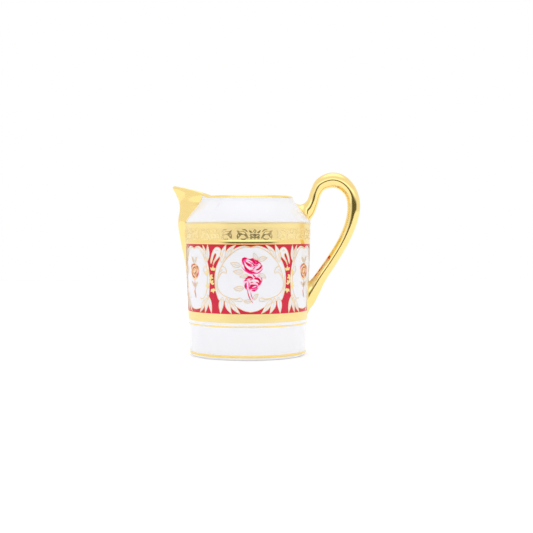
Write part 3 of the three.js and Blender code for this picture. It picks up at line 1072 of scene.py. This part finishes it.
LOWER_ROSE = RoseSpray(
    petals=(
        (LIGHT, ((-4.0, 45.6), (-3.4, 47.2), (-1.8, 48.7), (0.8, 48.8), (2.4, 48.2), (4.2, 49.2),
                 (6.2, 48.4), (7.0, 46.4), (6.0, 44.6), (5.0, 42.0), (3.4, 40.2), (1.4, 39.3),
                 (-0.6, 39.8), (-2.2, 41.4), (-3.4, 43.2))),
        (MIDDLE, ((-3.2, 44.0), (-2.4, 45.4), (-1.8, 44.0), (-1.8, 42.2), (-2.6, 42.2))),
        (MIDDLE, ((0.2, 42.6), (1.4, 43.8), (3.4, 43.9), (4.4, 42.8), (3.2, 41.6), (1.6, 41.0), (0.4, 41.4))),
    ),
    strokes=(
        (DEEP, 1.6, ((-2.9, 46.8), (-1.6, 48.0), (0.4, 48.0), (1.6, 47.1))),
        (DEEP, 1.5, ((2.0, 47.2), (3.8, 47.4), (5.4, 46.4), (6.3, 45.0))),
        (DEEP, 0.9, ((1.3, 49.7), (2.2, 48.8), (3.2, 47.8))),
        (DEEP, 1.4, ((0.1, 40.8), (-0.2, 42.2), (0.8, 43.4), (2.2, 43.7))),
        (DEEP, 0.9, ((3.0, 45.2), (4.3, 44.9), (4.8, 43.8), (4.5, 42.8))),
        (DEEP, 0.7, ((0.0, 44.7), (0.9, 45.3), (1.8, 44.9))),
        (DEEP, 1.0, ((-2.4, 45.0), (-3.1, 43.4), (-2.7, 42.0), (-2.0, 41.0))),
        (DEEP, 0.5, ((2.4, 42.2), (3.4, 41.6), (4.3, 42.2))),
        (DEEP, 1.0, ((0.9, 41.3), (1.0, 42.6), (2.0, 43.2), (3.3, 43.0))),
        (DEEP, 0.9, ((0.6, 40.4), (2.0, 40.5), (3.6, 41.2))),
        (DEEP, 0.8, ((-0.5, 46.9), (0.9, 46.5), (2.6, 46.3))),
        (DEEP, 0.9, ((4.9, 46.0), (5.5, 44.9), (5.2, 43.6))),
        (DEEP, 0.6, ((-3.4, 45.4), (-2.8, 46.2), (-1.6, 46.6))),
        (MIDDLE, 0.6, ((-0.6, 45.2), (-0.4, 43.6), (-0.2, 42.4))),
        (MIDDLE, 0.45, ((-1.4, 46.4), (-1.2, 44.2), (-0.9, 42.0), (-0.4, 40.2))),
        (MIDDLE, 0.5, ((3.9, 48.9), (5.8, 48.3), (6.7, 46.6), (6.2, 44.8), (5.2, 42.8))),
        (MIDDLE, 0.5, ((1.6, 39.6), (3.2, 40.6), (4.6, 41.9))),
        (MIDDLE, 0.45, ((-3.8, 45.8), (-3.0, 46.6), (-2.2, 46.8))),
        (PAPER, 0.7, ((-0.4, 45.7), (1.6, 46.4), (3.8, 46.2), (5.0, 45.4))),
        (PAPER, 0.6, ((-2.0, 45.6), (-1.7, 43.8), (-1.4, 42.0))),
        (PAPER, 0.5, ((1.0, 42.1), (2.2, 42.6), (3.6, 42.9))),
        (PAPER, 0.5, ((5.0, 47.9), (5.9, 47.0), (6.2, 46.2))),
        (DEEP, 0.55, ((-2.0, 41.6), (-1.5, 39.4), (-0.9, 37.2), (0.1, 35.0), (1.6, 33.0))),
        (MIDDLE, 0.5, ((0.1, 39.6), (0.5, 37.8), (1.0, 36.4), (1.6, 35.2))),
    ),
    shift=(-0.2, 0.8),
)

OCHRE_ROSE = RoseSpray(
    petals=(
        (LIGHT, ((-4.6, 52.2), (-4.2, 54.6), (-2.4, 56.0), (-0.4, 56.8), (2.0, 56.2), (3.8, 55.0),
                 (4.9, 53.4), (4.4, 51.0), (3.6, 48.8), (1.8, 47.2), (0.0, 46.3), (-2.2, 47.2),
                 (-3.6, 49.2))),
        (MIDDLE, ((-3.4, 52.4), (-2.4, 54.4), (0.2, 55.2), (2.8, 54.4), (3.4, 52.0), (2.0, 49.4),
                  (-0.2, 48.6), (-2.4, 49.8))),
        (LIGHT, ((-1.8, 52.0), (-1.0, 53.6), (0.8, 53.8), (1.8, 52.4), (0.8, 51.0), (-0.8, 50.8))),
    ),
    strokes=(
        (DEEP, 0.9, ((-3.9, 53.8), (-2.4, 55.2), (-0.4, 56.0), (1.4, 55.6))),
        (DEEP, 0.9, ((2.2, 55.2), (3.8, 54.0), (3.9, 52.4))),
        (DEEP, 1.0, ((-3.9, 51.6), (-2.8, 49.8), (-1.2, 48.4), (0.6, 47.9))),
        (DEEP, 0.9, ((3.7, 51.2), (2.8, 49.4), (1.4, 48.2))),
        (DEEP, 0.8, ((-1.8, 51.6), (-1.4, 53.4), (0.2, 54.0), (1.4, 53.2))),
        (DEEP, 0.7, ((1.8, 52.4), (1.2, 51.0), (-0.2, 50.6))),
        (DEEP, 0.6, ((-0.6, 52.2), (0.2, 52.8), (0.8, 52.0))),
        (STEM, 0.5, ((-4.5, 52.8), (-4.0, 54.8), (-2.2, 56.2))),
        (STEM, 0.5, ((4.8, 53.0), (4.2, 50.4), (2.6, 47.8))),
        (PAPER, 0.4, ((-2.8, 53.2), (-1.4, 54.7), (0.8, 55.0))),
        (PAPER, 0.4, ((-2.6, 50.8), (-1.0, 49.5), (1.2, 49.4))),
        (PAPER, 0.4, ((2.6, 53.4), (2.9, 51.8), (2.2, 50.4))),
    ),
)

WIDE_EDGE: Path = (
    (0.0, 66.4), (2.2, 66.9), (4.2, 67.1), (7.0, 66.4), (10.5, 64.9), (13.4, 63.9), (15.7, 64.6),
    (16.6, 62.4), (17.9, 60.0), (19.7, 57.0), (21.1, 53.5), (21.9, 49.5), (22.0, 45.5), (21.6, 41.5),
    (20.6, 38.0), (19.3, 35.4), (17.4, 35.8), (15.8, 35.0), (14.2, 34.4), (12.4, 33.6), (9.6, 32.4),
    (6.8, 30.8), (3.8, 29.4), (0.0, 28.6),
)
WIDE_LINE: Path = (
    (0.0, 66.0), (3.5, 66.4), (8.5, 64.4), (13.4, 60.5), (17.0, 56.0), (19.3, 51.0), (20.3, 46.0),
    (20.0, 42.5), (17.5, 39.0), (14.0, 37.3), (11.0, 36.4), (8.2, 36.3), (6.2, 37.0),
)
NARROW_EDGE: Path = (
    (0.0, 65.6), (2.6, 66.5), (5.4, 66.6), (7.8, 65.4), (10.2, 64.0), (11.2, 60.5), (12.4, 56.5),
    (13.3, 52.0), (13.5, 47.0), (13.2, 42.0), (12.9, 38.6), (12.0, 36.0), (10.4, 34.0), (8.0, 31.6),
    (4.4, 30.0), (0.0, 29.3),
)
NARROW_LINE: Path = (
    (0.0, 65.2), (3.0, 65.9), (5.6, 65.2), (8.4, 62.0), (10.6, 57.4), (11.7, 52.0), (11.9, 46.5),
    (11.2, 41.0), (9.4, 37.2), (7.4, 35.8), (5.2, 36.2),
)
POSY_LEAVES: tuple[tuple[Point, Point, float], ...] = (
    ((4.0, 59.0), (1.6, 63.0), 2.4), ((4.5, 58.6), (9.6, 60.2), 2.6), ((-5.8, 55.6), (-11.9, 57.2), 2.8),
    ((-4.4, 52.2), (-10.3, 52.3), 2.6), ((-1.6, 50.1), (-6.4, 49.3), 2.0), ((-4.1, 42.7), (-10.1, 42.5), 2.8),
    ((4.5, 50.7), (8.9, 48.3), 2.4), ((0.4, 35.4), (-4.2, 35.0), 2.2), ((1.7, 35.8), (4.4, 39.2), 2.0),
)


@dataclass
class PaintedBand:
    """The crimson band with its white reserves, gold pen work and roses.

    Three wide reserves and three narrow ones alternate round the barrel. Between them the crimson
    ground is left in the shape of an hourglass with a white scroll and small gold leaves.
    """

    vessel: Vessel
    axis: Vector
    low: float = 27.4
    high: float = 68.0
    first_wide_degrees: float = 7.45
    inset: float = 0.05
    line_weight: float = 0.5

    def _reserve(self, edge: Path, leaves: Iterable[tuple[Point, Point, float, float]]) -> Drawing:
        """White reserve with the leaves that fringe it."""
        drawing = Drawing(RESERVE_LIFT)
        drawing.patch(symmetric(edge), spacing=0.9)
        for base, tip, width, bend in leaves:
            outline = leaf_outline(base, tip, width, bend)
            drawing.patch(outline)
            drawing.patch(mirrored(outline))
        return drawing

    def _pen_work(
        self, edge: Path, line: Path, leaves: Iterable[tuple[Point, Point, float, float]],
    ) -> Drawing:
        """Gold outlines of a reserve and of its fringe."""
        drawing = Drawing(PEN_LIFT)
        for side in (list, mirrored):
            drawing.stroke(side(line), self.line_weight, 0, Taper.EVEN)
            drawing.stroke(side(edge), 0.3, 0, Taper.EVEN)
            for base, tip, width, bend in leaves:
                drawing.leaf_lines(side(leaf_outline(base, tip, width, bend)), 0.34)
        return drawing

    def wide(self) -> tuple[Drawing, Drawing, Drawing]:
        """White, gold and rose drawings of a wide reserve."""
        leaves = [
            ((17.0, 37.2), (18.5, 27.6), 3.0, 0.3), ((14.6, 36.8), (11.5, 27.6), 3.0, 0.7),
            ((12.6, 36.2), (6.3, 27.7), 2.8, 0.7), ((17.4, 57.4), (14.4, 67.8), 3.2, -0.5),
            ((14.8, 59.8), (8.6, 67.6), 2.6, -0.9),
        ]
        white = self._reserve(WIDE_EDGE, leaves)
        gold = self._pen_work(WIDE_EDGE, WIDE_LINE, leaves)
        for side in (list, mirrored):
            gold.stroke(side([(18.3, 54.0), (16.9, 55.2), (15.2, 54.3), (14.3, 52.4), (14.5, 50.7)]), 0.5)
            gold.stroke(side([(14.5, 50.7), (15.6, 51.9), (17.2, 51.5), (18.6, 49.8), (19.9, 47.4)]), 0.5)
            gold.stroke(side([(16.4, 53.6), (17.4, 52.8), (18.9, 51.6)]), 0.4)
            gold.stroke(side([(6.2, 37.0), (5.0, 36.2), (5.4, 34.9), (7.6, 34.9), (10.4, 35.4)]), 0.45)
            gold.stroke(side([(7.4, 36.0), (9.4, 35.9), (12.2, 36.2)]), 0.35)
            gold.stroke(side([(21.2, 50.0), (21.1, 44.0), (19.6, 39.0)]), 0.45)
        for base, tip, width in POSY_LEAVES:
            gold.leaf_lines(leaf_outline(base, tip, width, 0.3), 0.36)
        roses = Drawing(ROSE_LIFT)
        UPPER_ROSE.draw(roses)
        LOWER_ROSE.draw(roses)
        return white, gold, roses

    def narrow(self) -> tuple[Drawing, Drawing, Drawing]:
        """White, gold and rose drawings of a narrow reserve."""
        leaves = [
            ((11.6, 38.4), (14.4, 27.6), 2.6, 0.3), ((10.6, 36.6), (9.2, 27.6), 2.5, 0.6),
            ((9.0, 35.4), (4.6, 27.7), 2.4, 0.6), ((11.6, 57.6), (12.4, 67.8), 2.6, -0.4),
            ((10.2, 59.4), (8.4, 67.6), 2.2, -0.7),
        ]
        white = self._reserve(NARROW_EDGE, leaves)
        gold = self._pen_work(NARROW_EDGE, NARROW_LINE, leaves)
        for side in (list, mirrored):
            gold.stroke(side([(11.4, 54.6), (9.8, 55.0), (9.0, 53.2), (9.6, 51.4), (11.6, 49.4)]), 0.45)
            gold.leaf_lines(side(leaf_outline((0.4, 42.6), (3.4, 45.6), 1.5, 0.2)), 0.34)
            gold.leaf_lines(side(leaf_outline((0.6, 57.0), (3.2, 60.4), 1.5, 0.2)), 0.34)
        roses = Drawing(ROSE_LIFT)
        OCHRE_ROSE.draw(roses)
        roses.stroke([(0.0, 46.6), (0.2, 43.0), (0.1, 39.6)], 0.5, STEM)
        roses.stroke([(-0.9, 40.6), (0.2, 38.4), (0.8, 35.9)], 1.3, MIDDLE)
        return white, gold, roses

    def hourglass(self) -> tuple[Drawing, Drawing, Drawing]:
        """White scroll, its gold edge and the small gold leaves of one crimson hourglass.

        The middle of the wide reserve stands at u 0 and the hourglass to its right.
        """
        comma = (
            (23.0, 55.6), (22.0, 57.6), (19.8, 59.8), (17.9, 62.0), (17.6, 64.4), (18.9, 66.0),
            (20.9, 66.1), (22.6, 64.6), (23.9, 61.8), (24.7, 58.6), (24.6, 56.6), (23.8, 57.9),
            (22.9, 60.6), (21.6, 62.8), (20.6, 62.0), (21.3, 60.0), (22.6, 57.8),
        )
        white = Drawing(RESERVE_LIFT)
        white.patch(comma, spacing=0.7)
        gold = Drawing(PEN_LIFT)
        gold.stroke(comma, 0.42, 0, Taper.EVEN, closed=True)
        gold.stroke([(19.2, 63.9), (20.2, 64.7), (21.6, 63.9)], 0.4)
        leaves = Drawing(RELIEF_LIFT)
        clusters = (
            (23.2, 53.2, 95), (27.0, 51.4, 15), (25.0, 48.8, 200), (24.4, 45.4, 130), (27.0, 43.8, 345),
            (23.4, 41.4, 260),
        )
        for u, v, bearing in clusters:
            for turn in (-62, 0, 62):
                way = math.radians(bearing + turn)
                tip = (u + 2.2 * math.cos(way), v + 2.2 * math.sin(way))
                heel = (u - 0.5 * math.cos(math.radians(bearing)), v - 0.5 * math.sin(math.radians(bearing)))
                leaves.patch(leaf_outline(heel, tip, 1.45))
        return white, gold, leaves

    def build(self, finishes: Finishes) -> None:
        """Draw the templates once, wrap each round the barrel and set the finished pieces."""
        tones = finishes.enamels
        white, gold, pink, ochre, leaves = (bmesh.new() for _ in range(5))
        wides, narrows = self.wide(), self.narrow()
        rights = self.hourglass()
        low, high = self.low + self.inset, self.high - self.inset
        for drawing in (*wides, *narrows, *rights):
            drawing.trim(low, high)
        lefts = [drawing.flipped() for drawing in rights]
        for k in range(6):
            azimuth = self.first_wide_degrees + 60 * k
            targets = (white, gold, ochre if k % 2 else pink)
            sets = [(narrows, targets)] if k % 2 else [
                (wides, targets), (rights, (white, gold, leaves)), (lefts, (white, gold, leaves)),
            ]
            for drawings, goals in sets:
                for drawing, goal in zip(drawings, goals):
                    cut = drawing.clear_of_spout(self.vessel, azimuth, self.low, self.high)
                    cut.wrap(goal, self.vessel, azimuth)
        pinks = [tones[t] for t in (Enamel.ROSE_DEEP, Enamel.ROSE_MID, Enamel.ROSE_LIGHT, Enamel.WHITE)]
        ochres = [tones[t] for t in (
            Enamel.OCHRE_DEEP, Enamel.OCHRE_MID, Enamel.OCHRE_LIGHT, Enamel.WHITE, Enamel.ROSE_MID)]
        pieces = {
            "white_reserves": (white, [tones[Enamel.WHITE]], "porcelain_glaze"),
            "gold_pen_work": (gold, [finishes.gold_line], "burnished_gold"),
            "gilded_leaflets": (leaves, [finishes.border], "burnished_gold"),
            "pink_roses": (pink, pinks, "crimson_enamel"),
            "ochre_roses": (ochre, ochres, "crimson_enamel"),
        }
        for name, (bm, mats, slot) in pieces.items():
            set_piece(name, bm, mats, self.axis, skin_mm=0.02)


# --------------------------------------------------------------------------- etched frieze
@dataclass
class FriezeRelief:
    """Polished gold scrolls and palmettes that stand out of the matte etched ground."""

    vessel: Vessel
    axis: Vector
    repeats: int = 10
    first_degrees: float = 11.0

    def motif(self) -> Drawing:
        """One palmette with the scrolls at its sides. Tone 1 is ground that shows through them."""
        drawing = Drawing(RELIEF_LIFT)
        crown = ((0.0, 74.3), (1.2, 73.8), (2.5, 74.2), (3.0, 73.2), (2.5, 72.5), (3.1, 71.6), (2.0, 71.0),
                 (1.0, 71.8), (0.0, 70.8))
        wing = ((3.5, 71.6), (4.3, 73.2), (5.2, 74.8), (6.9, 75.7), (8.6, 75.4), (10.3, 76.1), (9.7, 74.4),
                (10.4, 73.0), (10.1, 71.2), (8.9, 72.0), (7.9, 73.2), (6.5, 73.5), (5.4, 72.6), (4.4, 71.4))
        drawing.patch(symmetric(crown))
        drawing.patch(leaf_outline((0.0, 74.5), (0.0, 77.0), 1.7))
        drawing.patch(leaf_outline((0.0, 74.9), (0.0, 76.4), 0.6), 1)
        for side in (list, mirrored):
            drawing.patch(side(wing), spacing=0.5)
            drawing.patch(side(leaf_outline((5.3, 74.0), (9.0, 74.9), 1.3, 0.3)), 1)
            drawing.patch(side(leaf_outline((9.2, 72.4), (9.6, 74.0), 0.5)), 1)
            drawing.patch(side(leaf_outline((0.5, 72.4), (2.3, 73.4), 0.6)), 1)
            drawing.patch(side(leaf_outline((1.2, 74.6), (3.4, 76.4), 1.0, -0.3)))
            drawing.stroke(side([(4.6, 72.0), (5.7, 71.0), (7.2, 70.8), (8.2, 71.5)]), 0.9)
            drawing.stroke(side([(4.2, 75.0), (5.4, 76.3), (7.4, 76.6)]), 0.7)
        return drawing

    def build(self, finishes: Finishes) -> None:
        """Wrap the motif round the shoulder, clear of the spout, as one piece."""
        motif = self.motif()
        motif.trim(70.5, 77.25)
        relief = bmesh.new()
        step = 360 / self.repeats
        for k in range(self.repeats):
            azimuth = self.first_degrees + step * k
            cut = motif.clear_of_spout(self.vessel, azimuth, 70.0, 77.0)
            cut.wrap(relief, self.vessel, azimuth)
        set_piece(
            "frieze_relief", relief, [finishes.relief, finishes.etched], self.axis,
            sharp_degrees=20, skin_mm=0.06,
        )


# --------------------------------------------------------------------------- handle
@dataclass
class Handle:
    """The cast loop handle with flared roots, and the collars of slip around them."""

    vessel: Vessel
    axis: Vector
    sides: int = 64      # points round each section
    fine: int = 14       # sections from one row of the path to the next
    path: tuple[Point, ...] = (
        (29.0, 84.0), (35.6, 87.6), (39.3, 92.6), (41.6, 99.2), (45.0, 104.2), (51.5, 106.5),
        (57.8, 104.6), (62.8, 98.8), (64.6, 90.5), (62.9, 80.5), (58.3, 69.4), (51.7, 58.2),
        (44.8, 47.9), (39.8, 39.4), (35.6, 32.0), (29.5, 27.5),
    )
    sizes: tuple[Point, ...] = (
        (6.5, 4.6), (5.2, 4.3), (3.6, 4.0), (3.4, 4.0), (4.2, 4.3), (4.7, 4.5), (4.5, 4.5),
        (4.0, 4.4), (3.9, 4.3), (3.6, 4.2), (3.4, 4.1), (3.5, 4.0), (3.7, 4.0), (4.5, 4.0),
        (4.6, 4.0), (4.4, 4.0),
    )
    fillet: float = 1.1              # how far the roots flare out at the wall
    fillet_reach: float = 2.6        # distance from the wall at which the flare starts

    def rings(self) -> list[list[Vector]]:
        """Section rings along the handle, each flared where it comes near the wall."""
        centres, sizes = (flowing(rows, 1.0, steps=self.fine) for rows in (self.path, self.sizes))
        rings = []
        for i, ((x, z), (thick, wide)) in enumerate(zip(centres, sizes)):
            before, after = centres[max(0, i - 1)], centres[min(len(centres) - 1, i + 1)]
            along = Vector((after[0] - before[0], 0.0, after[1] - before[1])).normalized()
            outward = Vector((along.z, 0.0, -along.x))
            middle = Vector((x, 0.0, z))
            ring = []
            for k in range(self.sides):
                turn = math.tau * k / self.sides
                spoke = outward * thick * math.cos(turn) + Vector((0.0, wide * math.sin(turn), 0.0))
                ring.append(self._flared(middle, spoke))
            rings.append(ring)
        return rings

    def _flared(self, middle: Vector, spoke: Vector) -> Vector:
        """A ring point, pushed out from its middle where it nears the wall."""
        place = middle + spoke
        gap = self.vessel.clearance(math.hypot(place.x, place.y), place.z)
        near = min(1.0, max(0.0, 1 - gap / self.fillet_reach))
        return place + spoke.normalized() * self.fillet * near**2.2

    def body(self) -> bmesh.types.BMesh:
        """The handle's closed mesh, extruded ring by ring."""
        rings = self.rings()
        bm = bmesh.new()
        made = bmesh.ops.create_circle(bm, cap_ends=True, segments=self.sides, radius=1.0)
        loop = list(made["verts"])
        for vert, place in zip(loop, rings[0]):
            vert.co = place
        bm.edges.ensure_lookup_table()
        edges = [e for e in bm.edges]
        for ring in rings[1:]:
            made = bmesh.ops.extrude_edge_only(bm, edges=edges)
            edges = [g for g in made["geom"] if isinstance(g, bmesh.types.BMEdge)]
            after = {v for e in edges for v in e.verts}
            step = {}
            for vert in loop:
                other = next(e.other_vert(vert) for e in vert.link_edges if e.other_vert(vert) in after)
                step[vert] = other
            loop = [step[v] for v in loop]
            for vert, place in zip(loop, ring):
                vert.co = place
        bmesh.ops.contextual_create(bm, geom=edges)
        bmesh.ops.recalc_face_normals(bm, faces=bm.faces)
        return bm

    def root_loop(self, from_start: bool) -> list[Vector]:
        """Where the handle's surface meets the wall, at its upper or its lower end."""
        rings = self.rings()
        half = len(rings) // 2
        order = range(half, -1, -1) if from_start else range(half, len(rings))
        loop = []
        for k in range(self.sides):
            last = None
            for i in order:
                place = rings[i][k]
                gap = self.vessel.clearance(math.hypot(place.x, place.y), place.z)
                if gap < 0.1:
                    break
                last = (place, gap)
            share = last[1] / max(1e-6, last[1] - gap)
            loop.append(last[0].lerp(place, min(1.0, share)))
        return loop

    def collar(self, from_start: bool, spread: float, height: float) -> bmesh.types.BMesh:
        """A low bead of slip lying on the wall around one root.

        Args:
            from_start: whether it is the upper root.
            spread: how far the bead reaches from the handle, in millimetres.
            height: how high it stands at the handle.

        Returns:
            The closed bead.
        """
        loop = self.root_loop(from_start)
        middle = sum(loop, Vector()) / len(loop)
        stations = ((-0.5, height), (0.25 * spread, height * 0.8), (0.6 * spread, height * 0.35),
                    (spread, 0.02), (spread, -0.3), (-0.5, -0.3))
        bm = bmesh.new()
        rings = []
        for out, up in stations:
            ring = []
            for place in loop:
                away = (place - middle).normalized() * out
                spot = place + away
                bearing = math.atan2(spot.y, spot.x)
                gap = self.vessel.clearance(math.hypot(spot.x, spot.y), spot.z)
                lift = up - gap
                spot += Vector((math.cos(bearing), math.sin(bearing), 0.0)) * lift
                ring.append(bm.verts.new(spot))
            rings.append([bm.edges.new((ring[i - 1], ring[i])) for i in range(len(ring))])
        for near, far in zip(rings, rings[1:] + rings[:1]):
            bmesh.ops.bridge_loops(bm, edges=[*near, *far])
        bmesh.ops.recalc_face_normals(bm, faces=bm.faces)
        return bm

    def build(self, finishes: Finishes) -> None:
        """Make the handle and both collars."""
        gold = [finishes.burnished]
        set_piece("handle", self.body(), gold, self.axis, ["handle"], 60)
        collars = (("upper_handle_slip_seam", True, 1.0, 0.5), ("lower_handle_slip_seam", False, 0.8, 0.6))
        for name, first, spread, height in collars:
            bead = self.collar(first, spread, height)
            set_piece(name, bead, gold, self.axis, [name], 60)


# --------------------------------------------------------------------------- studio
@dataclass
class Studio:
    """A white tent: pale floor, even light, and the dim open side that gold mirrors."""

    axis: Vector
    eye_height: float = 77.0
    distance: float = 644.0
    bearing_degrees: float = 5.0
    lens: float = 70.9
    pitch_degrees: float = 2.06
    yaw_degrees: float = 1.01
    overhead: float = 1.7                    # brightness straight above
    overhead_span: Point = (0.8, 1.0)        # heights here are sines of the elevation
    floor_half: float = 0.85                 # metres; past its edge the dim side is mirrored
    floor_glow: float = 0.09
    dim_shift_degrees: float = 3.0
    dim_width: Point = (0.55, 0.90)
    dim_foot: Point = (-0.11, -0.075)
    dim_top: Point = (0.05, 0.20)
    dim_colour: str = "#5f5d48"
    glow_foot: Point = (0.20, 0.25)          # a soft box stands over the dim patch
    glow_top: Point = (0.38, 0.46)
    glow: float = 0.5

    def build(self) -> None:
        """Lay the floor, light the tent and place the camera."""
        self._floor()
        self._tent()
        self._camera()

    def _floor(self) -> None:
        """Lay a large pale sheet under the jug."""
        bm = bmesh.new()
        bmesh.ops.create_grid(bm, x_segments=1, y_segments=1, size=self.floor_half)
        mesh = bpy.data.meshes.new("studio_floor")
        bm.to_mesh(mesh)
        bm.free()
        floor = bpy.data.objects.new("studio_floor", mesh)
        bpy.context.scene.collection.objects.link(floor)
        mat = bpy.data.materials.new("matte_white_paper")
        mat.use_nodes = True
        shader = mat.node_tree.nodes["Principled BSDF"]
        shader.inputs["Base Color"].default_value = srgb("#fafafa")
        shader.inputs["Roughness"].default_value = 0.9
        shader.inputs["Emission Color"].default_value = srgb("#ffffff")
        shader.inputs["Emission Strength"].default_value = self.floor_glow
        mesh.materials.append(mat)

    def _tent(self) -> None:
        """Light the scene with a white surround that has a dim patch where the room opens."""
        world = bpy.data.worlds.new("white_tent")
        world.use_nodes = True
        tree = world.node_tree
        back = tree.nodes["Background"]
        place = add_node(tree, "ShaderNodeTexCoord")
        bearing = math.radians(self.bearing_degrees + self.dim_shift_degrees)
        toward = Vector((math.sin(bearing), -math.cos(bearing), 0.0))
        across = Vector((math.cos(bearing), math.sin(bearing), 0.0))
        dots = []
        for way in (toward, across):
            dot = add_node(
                tree, "ShaderNodeVectorMath", {"Vector": place.outputs["Generated"]}, operation="DOT_PRODUCT",
            )
            dot.inputs[1].default_value = way
            dots.append(dot.outputs["Value"])
        width = add_node(tree, "ShaderNodeMath", operation="ABSOLUTE")
        tree.links.new(dots[1], width.inputs[0])
        up = add_node(tree, "ShaderNodeSeparateXYZ", {"Vector": place.outputs["Generated"]}).outputs["Z"]
        front = self._product(
            tree, self._ramp(tree, dots[0], (0.0, 0.1), (0.0, 1.0)),
            self._ramp(tree, width.outputs["Value"], self.dim_width, (1.0, 0.0)),
        )
        dim = self._product(
            tree, front, self._ramp(tree, up, self.dim_foot, (0.0, 1.0)),
            self._ramp(tree, up, self.dim_top, (1.0, 0.0)),
        )
        glow = self._product(
            tree, front, self._ramp(tree, up, self.glow_foot, (0.0, self.glow)),
            self._ramp(tree, up, self.glow_top, (1.0, 0.0)),
        )
        seen = add_node(tree, "ShaderNodeLightPath")
        mirrored_only = add_node(tree, "ShaderNodeMath", operation="SUBTRACT", use_clamp=True)
        tree.links.new(dim, mirrored_only.inputs[0])
        tree.links.new(seen.outputs["Is Camera Ray"], mirrored_only.inputs[1])
        shade = add_node(tree, "ShaderNodeMix", {"Factor": mirrored_only.outputs["Value"]}, data_type="RGBA")
        sky = add_node(tree, "ShaderNodeMath", operation="ADD")
        tree.links.new(self._ramp(tree, up, self.overhead_span, (1.0, self.overhead)), sky.inputs[0])
        tree.links.new(glow, sky.inputs[1])
        tree.links.new(sky.outputs["Value"], shade.inputs["A"])
        shade.inputs["B"].default_value = srgb(self.dim_colour)
        tree.links.new(shade.outputs["Result"], back.inputs["Color"])
        back.inputs["Strength"].default_value = 1.0
        bpy.context.scene.world = world

    @staticmethod
    def _ramp(
        tree: bpy.types.NodeTree, source: bpy.types.NodeSocket, span: Point, values: Point,
    ) -> bpy.types.NodeSocket:
        """A soft step: the first value below the span of the source and the second above it."""
        return add_node(
            tree, "ShaderNodeMapRange", {"Value": source},
            {"From Min": span[0], "From Max": span[1], "To Min": values[0], "To Max": values[1]},
            interpolation_type="SMOOTHSTEP",
        ).outputs["Result"]

    @staticmethod
    def _product(tree: bpy.types.NodeTree, *factors: bpy.types.NodeSocket) -> bpy.types.NodeSocket:
        """The product of several node values."""
        result = factors[0]
        for factor in factors[1:]:
            node = add_node(tree, "ShaderNodeMath", operation="MULTIPLY")
            tree.links.new(result, node.inputs[0])
            tree.links.new(factor, node.inputs[1])
            result = node.outputs["Value"]
        return result

    def _camera(self) -> None:
        """Place the camera at eye level, a little towards the handle side."""
        bearing = math.radians(self.bearing_degrees)
        data = bpy.data.cameras.new("camera")
        data.lens = self.lens
        data.sensor_width = 36.0
        camera = bpy.data.objects.new("camera", data)
        bpy.context.scene.collection.objects.link(camera)
        camera.location = self.axis + Vector((
            self.distance * math.sin(bearing), -self.distance * math.cos(bearing), self.eye_height,
        )) * MM
        camera.rotation_euler = (
            math.radians(90 - self.pitch_degrees), 0.0,
            bearing - math.radians(self.yaw_degrees),
        )
        bpy.context.scene.camera = camera
        bpy.context.scene.view_settings.view_transform = "Standard"


def main() -> None:
    """Build the jug, piece by piece, and the studio round it."""
    logging.basicConfig(level=logging.INFO, format="%(message)s")
    low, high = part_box("jug_body")
    axis = Vector(((low.x + high.x) / 2, (low.y + high.y) / 2, 0.0))
    finishes = Finishes()
    vessel = Vessel()
    Castings(vessel, axis).build(finishes)
    PaintedBand(vessel, axis).build(finishes)
    FriezeRelief(vessel, axis).build(finishes)
    Handle(vessel, axis).build(finishes)
    Studio(axis).build()


main()
